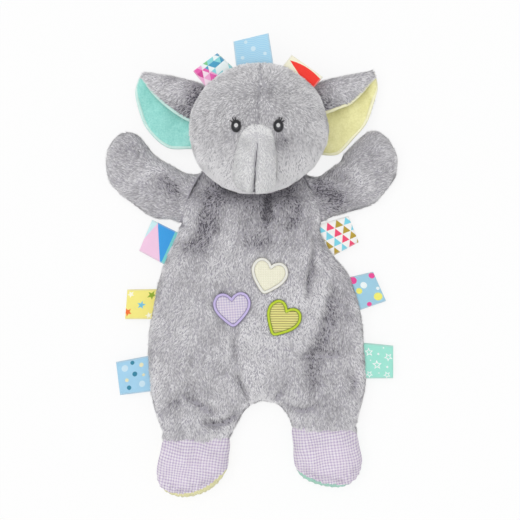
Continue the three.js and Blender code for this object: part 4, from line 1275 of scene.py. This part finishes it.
def thread_material(name, base, deep, pitch=0.5, edge=None):
    """Satin stitches: the map's first value runs along the row of stitches, in millimetres. An edge colour,
    where given, paints the row's sides darker, as painted shade.
    """
    shader = Shader(name, 0.45, sheen=0.1, specular=0.35)
    along, across = shader.map("thread")
    strand = along.wave(pitch) * 0.5 + 0.5
    threads = shader.mix(strand * 0.55 + shader.noise(1600.0) * 0.5, deep, base)
    # The row's sides painted in the edge colour: painted shade
    if edge:
        threads = shader.mix(((across.abs() - 0.62) * 6.0).clamped(), threads, edge)
    shader.paint(threads)
    return shader.bump(strand, 0.00018, 0.9)


eye_dark = thread_material("eye_thread", (54, 54, 58), (32, 32, 36), 0.42)
eye_mid = thread_material("eye_inner_thread", (112, 112, 118), (78, 78, 84), 0.42)
glint_white = thread_material("glint_thread", (255, 255, 255), (244, 244, 246), 0.4)


def head_height(x, y):
    share = ((x - HEAD[0]) / HEAD_HALF[0]) ** 2 + ((y - HEAD[1]) / HEAD_HALF[1]) ** 2
    return HEAD[2] + HEAD_HALF[2] * np.sqrt(np.maximum(1 - share, 0)) ** HEAD_POWER


def dome(centre, radii, rise, lift, rings=12, sides=56, hollow=0.0):
    """A low stitched button, or a ring where hollow, sunk into the pile. Gives points, faces and map."""
    angle = np.linspace(0, 2 * np.pi, sides, endpoint=False)
    points, places = [], []
    for ring in range(rings + 1):
        share = 1 - (1 - hollow) * ring / rings
        x = centre[0] + radii[0] * share * np.cos(angle)
        y = centre[1] + radii[1] * share * np.sin(angle)
        profile = math.sin(math.pi * ring / rings) if hollow else math.sqrt(max(1 - share ** 2, 0))
        points.append(np.column_stack([x, y, head_height(x, y) + lift + rise * profile]))
        places.append(np.column_stack([radii[0] * angle, np.full(sides, share * radii[0])]))
    points, places = np.vstack(points), np.vstack(places)
    count = len(points)
    faces = triangles_of(grid_faces(rings + 1, sides, wrap_columns=True))
    rim = np.arange(sides)
    if hollow:
        walls = np.vstack([walls_between(rim, count), walls_between(count - 1 - rim, count)])
        faces = np.vstack([faces, faces[:, ::-1] + count, triangles_of(walls)])
        points = np.vstack([points, points - (0, 0, STITCH_DEPTH)])
        places = np.vstack([places, places])
    else:
        faces = np.vstack([faces, np.column_stack([np.full(sides, count), np.roll(rim, -1), rim])])
        points = np.vstack([points, (*centre, head_height(*centre) + lift - STITCH_DEPTH)])
        places = np.vstack([places, (0, 0)])
    return points, outward_faces(points, faces), places


def lash(x, sign, lean, reach):
    angle = math.radians(90 - sign * lean)
    heading = np.array([math.cos(angle), math.sin(angle)])
    start = (x, EYE_Y) + heading * (2.6, 3.6)
    path = np.linspace(start, start + reach * heading, 6)
    points, triangles = tube(np.column_stack([path, head_height(*path.T) + 1.5]), LASH_RADIUS, 6)
    return points, triangles, np.zeros((len(points), 2))


def stitched(name, forms, material, replaced=()):
    """One piece of embroidery on the face, made of several forms."""
    points, triangles, places = zip(*forms)
    offsets = np.cumsum([0] + [len(part) for part in points])
    triangles = [part + offset for part, offset in zip(triangles, offsets)]
    piece = make_object(name, np.vstack(points), np.vstack(triangles), material)
    set_map(piece, "thread", np.vstack(places))
    attach(piece, "head", replaced)


LASHES = ((28, 2.6), (52, 2.4), (8, 2.1))
for side, x in EYES.items():
    sign = -1 if side == "left" else 1
    ring = dome((x, EYE_Y), EYE_RING, 1.1, 0.9, hollow=0.5)
    stitched(side + "_eye_ring", [ring] + [lash(x, sign, *row) for row in LASHES], eye_dark,
             [side + "_eye"])
    stitched(side + "_eye_inner", [dome((x, EYE_Y), EYE_INNER, 0.5, 0.9)], eye_mid)
    glint = dome((x - sign * 0.1, EYE_Y + 0.3), EYE_GLINT, 0.8, 1.9, rings=8, sides=32)
    stitched(side + "_eye_glint_stitch", [glint], glint_white, [side + "_eye_glint"])


# Hearts
def stripe_material(name, ground, stripe, pitch, share):
    shader = Shader(name, 0.75, sheen=0.1, specular=0.2)
    x, y = shader.map("cloth")
    line = ((((y / pitch).fract() - 0.5).abs() - share / 2) * 10.0 + 0.5).clamped()
    cloth = shader.mix(line, stripe, ground)
    shader.paint(shader.mix(shader.noise(700.0) * 0.25, cloth, dimmed(ground, 0.9)))
    return shader.bump(x.wave(0.4) * 0.3 + line, 0.0003, 0.7)


def ribbed_material(name, base, deep, pitch):
    shader = Shader(name, 0.8, sheen=0.2, specular=0.15)
    x, y = shader.map("cloth")
    rib = (x.wave(pitch) + y.wave(pitch)) * 0.25 + 0.5
    shader.paint(shader.mix(rib * 0.6 + shader.noise(900.0) * 0.4, deep, base))
    return shader.bump(rib, 0.0004, 0.9)


STITCH = 0.6
HEART_LIFT = 1.7
PATCH_THICKNESS = 1.3
BORDER_HALF_WIDTH = 1.15
BORDER_HALF_HEIGHT = 0.72
BORDER_SIDES = 14
heart_cloth = {
    "cream": ribbed_material("cream_heart_cloth", (250, 248, 230), (230, 227, 200), 1.2),
    "lilac": gingham_material("lilac_heart_cloth", (244, 238, 246), (202, 190, 222), 1.8, 0.5),
    "green": stripe_material("green_heart_cloth", (240, 236, 150), (170, 150, 90), 1.65, 0.34),
}
heart_thread = {
    # The last colour of each darkens the border's sides: painted shade
    "cream": thread_material("cream_heart_thread", (255, 255, 250), (242, 240, 230), STITCH, (204, 200, 184)),
    "lilac": thread_material("lilac_heart_thread", (226, 214, 250), (196, 180, 232), STITCH, (116, 104, 150)),
    "green": thread_material("green_heart_thread", (214, 236, 66), (184, 206, 44), STITCH, (108, 130, 22)),
}


def torso_height(flat):
    """Height of the torso's front skin over each place, from the six nearest of its points."""
    front = body.points[:len(body.flat)]
    heights = []
    for spot in flat:
        gap = ((front[:, :2] - spot) ** 2).sum(1)
        near = np.argpartition(gap, 6)[:6]
        weight = 1 / (gap[near] + 0.3)
        heights.append((front[near, 2] * weight).sum() / weight.sum())
    return np.array(heights)


def heart_seat(loop):
    """The height at which a heart lies: the torso's, evened out by a quadratic."""
    centre = loop.mean(0)
    rows = np.vstack([loop, centre + (loop - centre) * 0.5, centre])

    def terms(flat):
        x, y = (flat - centre).T
        return np.column_stack([np.ones(len(flat)), x, y, x * x, x * y, y * y])

    fit, *_ = np.linalg.lstsq(terms(rows), torso_height(rows), rcond=None)
    return lambda flat: terms(flat) @ fit + HEART_LIFT


def make_heart(name, loop):
    seat = heart_seat(loop)
    inner = Outline((("edge", closed(loop[::2])),), 1.4)
    flat, faces, rim, _ = fill(inner, 1.5)
    count = len(flat)
    top = seat(flat) - 0.4 + 0.75 * rounded(inner.edge_distance(flat), 6.0) + 0.12 * drift(flat, 3.0, 31)
    points = np.vstack([np.column_stack([flat, top]), np.column_stack([flat, top - PATCH_THICKNESS])])
    walls = triangles_of(walls_between(np.arange(rim), count))
    triangles = outward_faces(points, np.vstack([faces, faces[:, ::-1] + count, walls]))
    patch = make_object(name + "_heart_cloth", points, triangles, heart_cloth[name])
    turn = math.radians(-HEARTS[name]["turn"] if name == "lilac" else 0)
    places = turned(flat - loop.mean(0), turn)
    set_map(patch, "cloth", np.vstack([places, places]))
    attach(patch, "torso", [name + "_heart_patch"])
    total = lengths(closed(loop))[-1]
    count = int(total / STITCH) * 4
    along = np.linspace(0, total, count, endpoint=False)
    ring = spaced(closed(loop), along)
    heading = unit(np.roll(ring, -1, axis=0) - np.roll(ring, 1, axis=0))
    side = np.column_stack([heading[:, 1], -heading[:, 0]])
    angle = np.linspace(0, 2 * np.pi, BORDER_SIDES, endpoint=False)
    strand = 1 + 0.10 * np.sin(along / STITCH * 2 * np.pi)
    half = BORDER_HALF_WIDTH * strand * (1 + 0.07 * drift(np.column_stack([ring, ring[:, 0]]), 1.2, 33))
    rings = np.zeros((count, len(angle), 3))
    rings[..., :2] = ring[:, None] + side[:, None] * (half[:, None] * np.cos(angle))[..., None]
    rings[..., 2] = seat(ring)[:, None] + 0.15 + BORDER_HALF_HEIGHT * strand[:, None] * np.sin(angle)
    points = rings.reshape(-1, 3)
    triangles = outward_faces(points, triangles_of(grid_faces(count, len(angle), True, True)))
    border = make_object(name + "_heart_stitch", points, triangles, heart_thread[name])
    set_map(border, "thread", np.column_stack([np.repeat(along, len(angle)), np.tile(np.cos(angle), count)]))
    attach(border, "torso", [name + "_heart_border"])


for name, loop in heart_loops.items():
    make_heart(name, loop)


# Ribbon tags: folded loops of printed satin
class Print:
    """A ribbon's print: masks over the map, which is in millimetres, painted one over another."""

    def __init__(self, name, ground, width):
        self.shader = Shader(name, 0.5, specular=0.25)
        self.x, self.y = self.shader.map("ribbon")
        self.ground = ground
        self.width = width
        self.paint = self.shader.mix(self.shader.noise(300.0) * 0.3, ground, dimmed(ground, 0.93))

    def add(self, mask, tint):
        self.paint = self.shader.mix(mask, self.paint, tint)

    def spot(self, x, y, radius):
        far = ((self.x - x).power(2.0) + (self.y - y).power(2.0)).power(0.5)
        return far.within(radius)

    def star(self, x, y, radius, turn):
        away_x, away_y = self.x - x, self.y - y
        far = (away_x.power(2.0) + away_y.power(2.0)).power(0.5)
        sector = 2 * math.pi / 5
        lean = (((away_y.angle(away_x) + turn) / sector).fract() - 0.5).abs() * -sector + sector / 2
        return (far * lean.cosine() * 0.42 + far * lean.sine() * 1.05).within(radius * 0.42)

    def material(self):
        ribs = self.y.wave(0.45) * 0.5 + 0.5
        rim = ((self.x - self.width / 2).abs() - (self.width / 2 - 0.9)).above(0.0)
        base = self.shader.mix(ribs * 0.07, self.paint, (255, 255, 255))
        self.shader.paint(self.shader.mix(rim * 0.22, base, (250, 250, 250)))
        return self.shader.bump(ribs * 0.6 + rim, 0.00022, 0.8)


def paint_blocks(ribbon):
    ribbon.add((ribbon.y - ribbon.x * 0.49).above(2.6), (247, 204, 232))
    ribbon.add((ribbon.y + ribbon.x * 0.33).above(22.0), (205, 240, 245))
    ribbon.add((ribbon.y + ribbon.x * 0.05).below(1.6), (120, 215, 215))


def paint_stars(ribbon):
    for x, y, size, tint in PARTY_STARS:
        ribbon.add(ribbon.star(x, y, size, 0.4 * x), tint)


def paint_dots(rows):
    def paint(ribbon):
        for x, y, size, tint in rows:
            ribbon.add(ribbon.spot(x, y, size), tint)
    return paint


def paint_triangles(ribbon, pitch=6.2, height=5.7):
    """Rows of triangles along the ribbon, apex to its first edge: the tints take turns along each row."""
    tints = ((245, 60, 110), (185, 155, 20), (120, 215, 235))
    row = (ribbon.x / height).floor()
    rise = (ribbon.x / height).fract() * -1.0 + 1.0
    along = ribbon.y / pitch + row * 0.5
    mask = (((along.fract() - 0.5).abs() * 2.0 + rise - 1.0) * -9.0).clamped()
    turn = ((along.floor() + row * 2.0) / len(tints)).fract() * len(tints)
    for index, tint in enumerate(tints):
        chosen = (turn - index).abs().below(0.5)
        if index == 0:
            chosen = chosen.most((turn - len(tints)).abs().below(0.5))
        ribbon.add(mask * chosen, tint)


def paint_outlined_stars(ribbon):
    for x, y, size in ((14.5, 7.6, 3.5), (6, 2.4, 3.2), (8.6, 15.6, 3.2), (21.5, 14.6, 2.8), (21, 2, 2.6)):
        ribbon.add(ribbon.star(x, y, size, 0.3 * x), (250, 252, 250))
        ribbon.add(ribbon.star(x, y, size * 0.58, 0.3 * x), ribbon.ground)
    for x, y, size in ((6.8, 8.8, 1.1), (15.8, 14.8, 1.2), (2.2, 12.4, 0.8), (20.2, 8.8, 0.7),
                       (11.5, 3.2, 0.7)):
        ribbon.add(ribbon.star(x, y, size, 0.9), (250, 252, 250))


def paint_facets(ribbon, size=5.2):
    """A mosaic of triangles, in pinks on one half and in blues and greens on the other."""
    shader = ribbon.shader
    x, y = ribbon.x / size, ribbon.y / (size * 0.866)
    cell = shader.node("CombineXYZ", {0: y.floor(), 1: (x + y * 0.5).floor(), 2: (x - y * 0.5).floor()})
    chance = shader.node("TexWhiteNoise", {"Vector": cell.outputs[0]})
    pick = Value(shader.tree, chance.outputs["Value"])
    pinks = ((235, 90, 175), (245, 170, 215), (250, 226, 240), (214, 60, 150))
    cools = ((60, 160, 200), (140, 220, 225), (240, 250, 250), (120, 205, 140))
    cool = (ribbon.x + ribbon.y * 0.4).above(ribbon.width * 0.52)
    warm = cool * -1.0 + 1.0
    for index, (pink, blue) in enumerate(zip(pinks, cools)):
        chosen = pick.above(index * 0.25)
        ribbon.add(chosen * warm, pink)
        ribbon.add(chosen * cool, blue)


def paint_waves(ribbon):
    wave = (ribbon.y + ribbon.x * 0.45 + (ribbon.x * 0.8).sine() * 0.35) / 1.5
    ribbon.add(((wave.fract() - 0.5).abs() * -5.0 + 1.2).clamped() * 0.5, (210, 238, 250))
    for x, y, size in ((5, 5.5, 1.3), (13, 10.5, 1.7), (20.5, 6, 1.2), (8.5, 16, 1.2)):
        ribbon.add(ribbon.spot(x, y, size) * 0.6, (232, 247, 253))


def paint_corner(ribbon):
    arc = (ribbon.x - 15.2).power(2.0) * -0.0129 + 7.4
    ribbon.add((ribbon.y - arc).below(0.0) * (ribbon.y + ribbon.x * 0.41).above(5.6), (255, 34, 0))


# Each star or dot: its place on the ribbon, its radius and its tint
PARTY_STARS = ((9.9, 7.8, 3.1, (110, 195, 225)), (16.8, 1.6, 3.3, (140, 170, 0)),
               (5, 17, 3.2, (250, 110, 20)), (17.6, 15.8, 2.6, (253, 250, 226)),
               (2.5, 1.5, 2.6, (253, 250, 226)))
BLUE_DOTS = ((7.7, 6.6, 2.3, (240, 250, 250)), (10.7, 2.2, 2.1, (245, 240, 110)),
             (18.3, 13, 2.9, (245, 240, 110)), (2.6, 0.6, 2.6, (240, 60, 150)),
             (2.4, 14.6, 2.2, (240, 60, 150)), (21.6, 5.6, 1.6, (240, 60, 150)),
             (12.6, 15, 1.2, (240, 250, 250)))
SKY_DOTS = ((6, 4.5, 2.2, (205, 232, 246)), (13.5, 9, 1.7, (25, 130, 160)), (19, 4, 1.5, (235, 230, 190)),
            (4.5, 14, 1.6, (25, 130, 160)), (18.5, 15.5, 2.3, (205, 232, 246)),
            (10, 15, 1.3, (235, 230, 190)), (21.5, 10, 1.4, (25, 130, 160)), (12, 3, 1, (235, 230, 190)))
# Each tag: its inner corners on the seam, its outer corners, its ground and its print
TAGS = {
    "left_upper": (((-64.1, -2.8), (-55.3, 20)), ((-80.9, 6.4), (-71.7, 28.1)), (34, 160, 235), paint_blocks),
    "left_middle": (((-73.5, -41.3), (-69.6, -20.3)), ((-90.7, -41.3), (-89.2, -20.7)),
                    (252, 240, 130), paint_stars),
    "left_lower": (((-74.2, -92.1), (-75.6, -67.2)), ((-94.2, -94.5), (-97.1, -71.4)), (165, 214, 242),
                   paint_dots(SKY_DOTS)),
    "right_upper": (((46.9, 25.9), (57.9, 4.2)), ((65.1, 30.8), (72.4, 12.4)),
                    (252, 251, 248), paint_triangles),
    "right_middle": (((67.2, -11.6), (74.9, -34.7)), ((82.5, -8.3), (91.5, -28.7)), (160, 210, 232),
                     paint_dots(BLUE_DOTS)),
    "right_lower": (((76.7, -57.8), (78.4, -83)), ((96.5, -59.9), (96.5, -82.6)), (160, 234, 216),
                    paint_outlined_stars),
    "head_left": (((-33.4, 117.6), (-17.6, 134)), ((-41.9, 128.6), (-25.5, 140.8)),
                  (250, 246, 250), paint_facets),
    "head_top": (((-12.8, 131.9), (12.5, 134.6)), ((-14.6, 148.6), (9.3, 154.4)),
                 (166, 218, 246), paint_waves),
    "head_right": (((19.1, 131.9), (41.5, 119)), ((25, 139.6), (46.2, 124.4)), (252, 248, 222), paint_corner),
}
TUCK = 4.0
LOOP_RADIUS = 0.85
LOOP_PUFF = 0.9
RIBBON_THICKNESS = 0.35
TAG_ROWS, TAG_TURNS, TAG_COLUMNS = 18, 9, 22


def make_tag(name, seed, inner, outer, ground, paint):
    inner, outer = np.array(inner), np.array(outer)
    width = (np.linalg.norm(inner[1] - inner[0]) + np.linalg.norm(outer[1] - outer[0])) / 2
    inner = inner - unit(outer.mean(0) - inner.mean(0)) * TUCK
    length = np.linalg.norm(outer.mean(0) - inner.mean(0))
    straight = length - LOOP_RADIUS
    total = 2 * straight + LOOP_RADIUS * math.pi
    there = np.linspace(0, straight, TAG_ROWS)
    turn = np.linspace(0, np.pi, TAG_TURNS)[1:-1]
    # Out from the seam, side of the loop and length along the ribbon, for each row of points
    out = np.concatenate([there, straight + LOOP_RADIUS * np.sin(turn), there[::-1]])
    level = np.concatenate([np.ones(TAG_ROWS), np.cos(turn), -np.ones(TAG_ROWS)])
    along = np.concatenate([there, straight + LOOP_RADIUS * turn, total - there[::-1]])
    reach = out[:, None] / length
    across = np.linspace(0, 1, TAG_COLUMNS)
    base, end = (corners[0] + (corners[1] - corners[0]) * across[:, None] for corners in (inner, outer))
    grid = np.zeros((len(out), TAG_COLUMNS, 3))
    grid[..., :2] = base + (end - base) * reach[..., None]
    bend = 0.8 * drift(grid, 13.0, seed) + 0.25 * drift(grid, 5.0, seed + 1)
    puff = LOOP_RADIUS + LOOP_PUFF * np.sin(np.pi * reach) * np.sin(np.pi * (0.15 + 0.7 * across))
    seam_z, skin = (HEAD[2], "head_skin") if name.startswith("head") else (SEAM_Z, "torso_skin")
    grid[..., 2] = seam_z + level[:, None] * puff + bend * (0.2 + 0.8 * reach)
    points, faces = thick_sheet(grid, RIBBON_THICKNESS)
    ribbon = Print(name + "_satin", ground, width)
    paint(ribbon)
    triangles = outward_faces(points, triangles_of(faces))
    tag = make_object(name + "_ribbon_loop", points, triangles, ribbon.material())
    # Both layers carry the print the same way round
    printed = np.where(level > 0, along, total - along) - TUCK
    places = np.column_stack([np.tile(across * width, len(out)), np.repeat(printed, TAG_COLUMNS)])
    set_map(tag, "ribbon", np.vstack([places, places]))
    attach(tag, name + "_tag", [name + "_tag"])


for number, (name, row) in enumerate(TAGS.items()):
    make_tag(name, 201 + number * 3, *row)

# Floor: the camera sees it nearly white, and shadows still fall on it
FLOOR_GLOW = 0.84
FLOOR_HALF = 3000.0
FLOOR_Z = -0.6


def add_floor():
    shader = Shader("floor", 0.9, specular=0.0)
    shader.paint(shader.mix(shader.noise(3.0), (0.86, 0.86, 0.86, 1), (0.88, 0.88, 0.88, 1)))
    path = shader.node("LightPath", {}).outputs
    seen = Value(shader.tree, path["Is Camera Ray"])
    for ray in ("Is Glossy Ray", "Is Transmission Ray"):
        seen = seen.most(Value(shader.tree, path[ray]))
    glow = shader.node("Emission", {"Color": (1, 1, 1, 1), "Strength": 1.0})
    blend = shader.node("MixShader", {0: seen * FLOOR_GLOW, 1: shader.bsdf.outputs[0], 2: glow.outputs[0]})
    shader.feed_all(shader.tree.nodes["Material Output"], {"Surface": blend.outputs[0]})
    corners = [(x * FLOOR_HALF, y * FLOOR_HALF, FLOOR_Z) for x, y in ((-1, -1), (1, -1), (1, 1), (-1, 1))]
    make_object("floor", np.array(corners), np.array([(0, 1, 2, 3)]), shader.material)


add_floor()
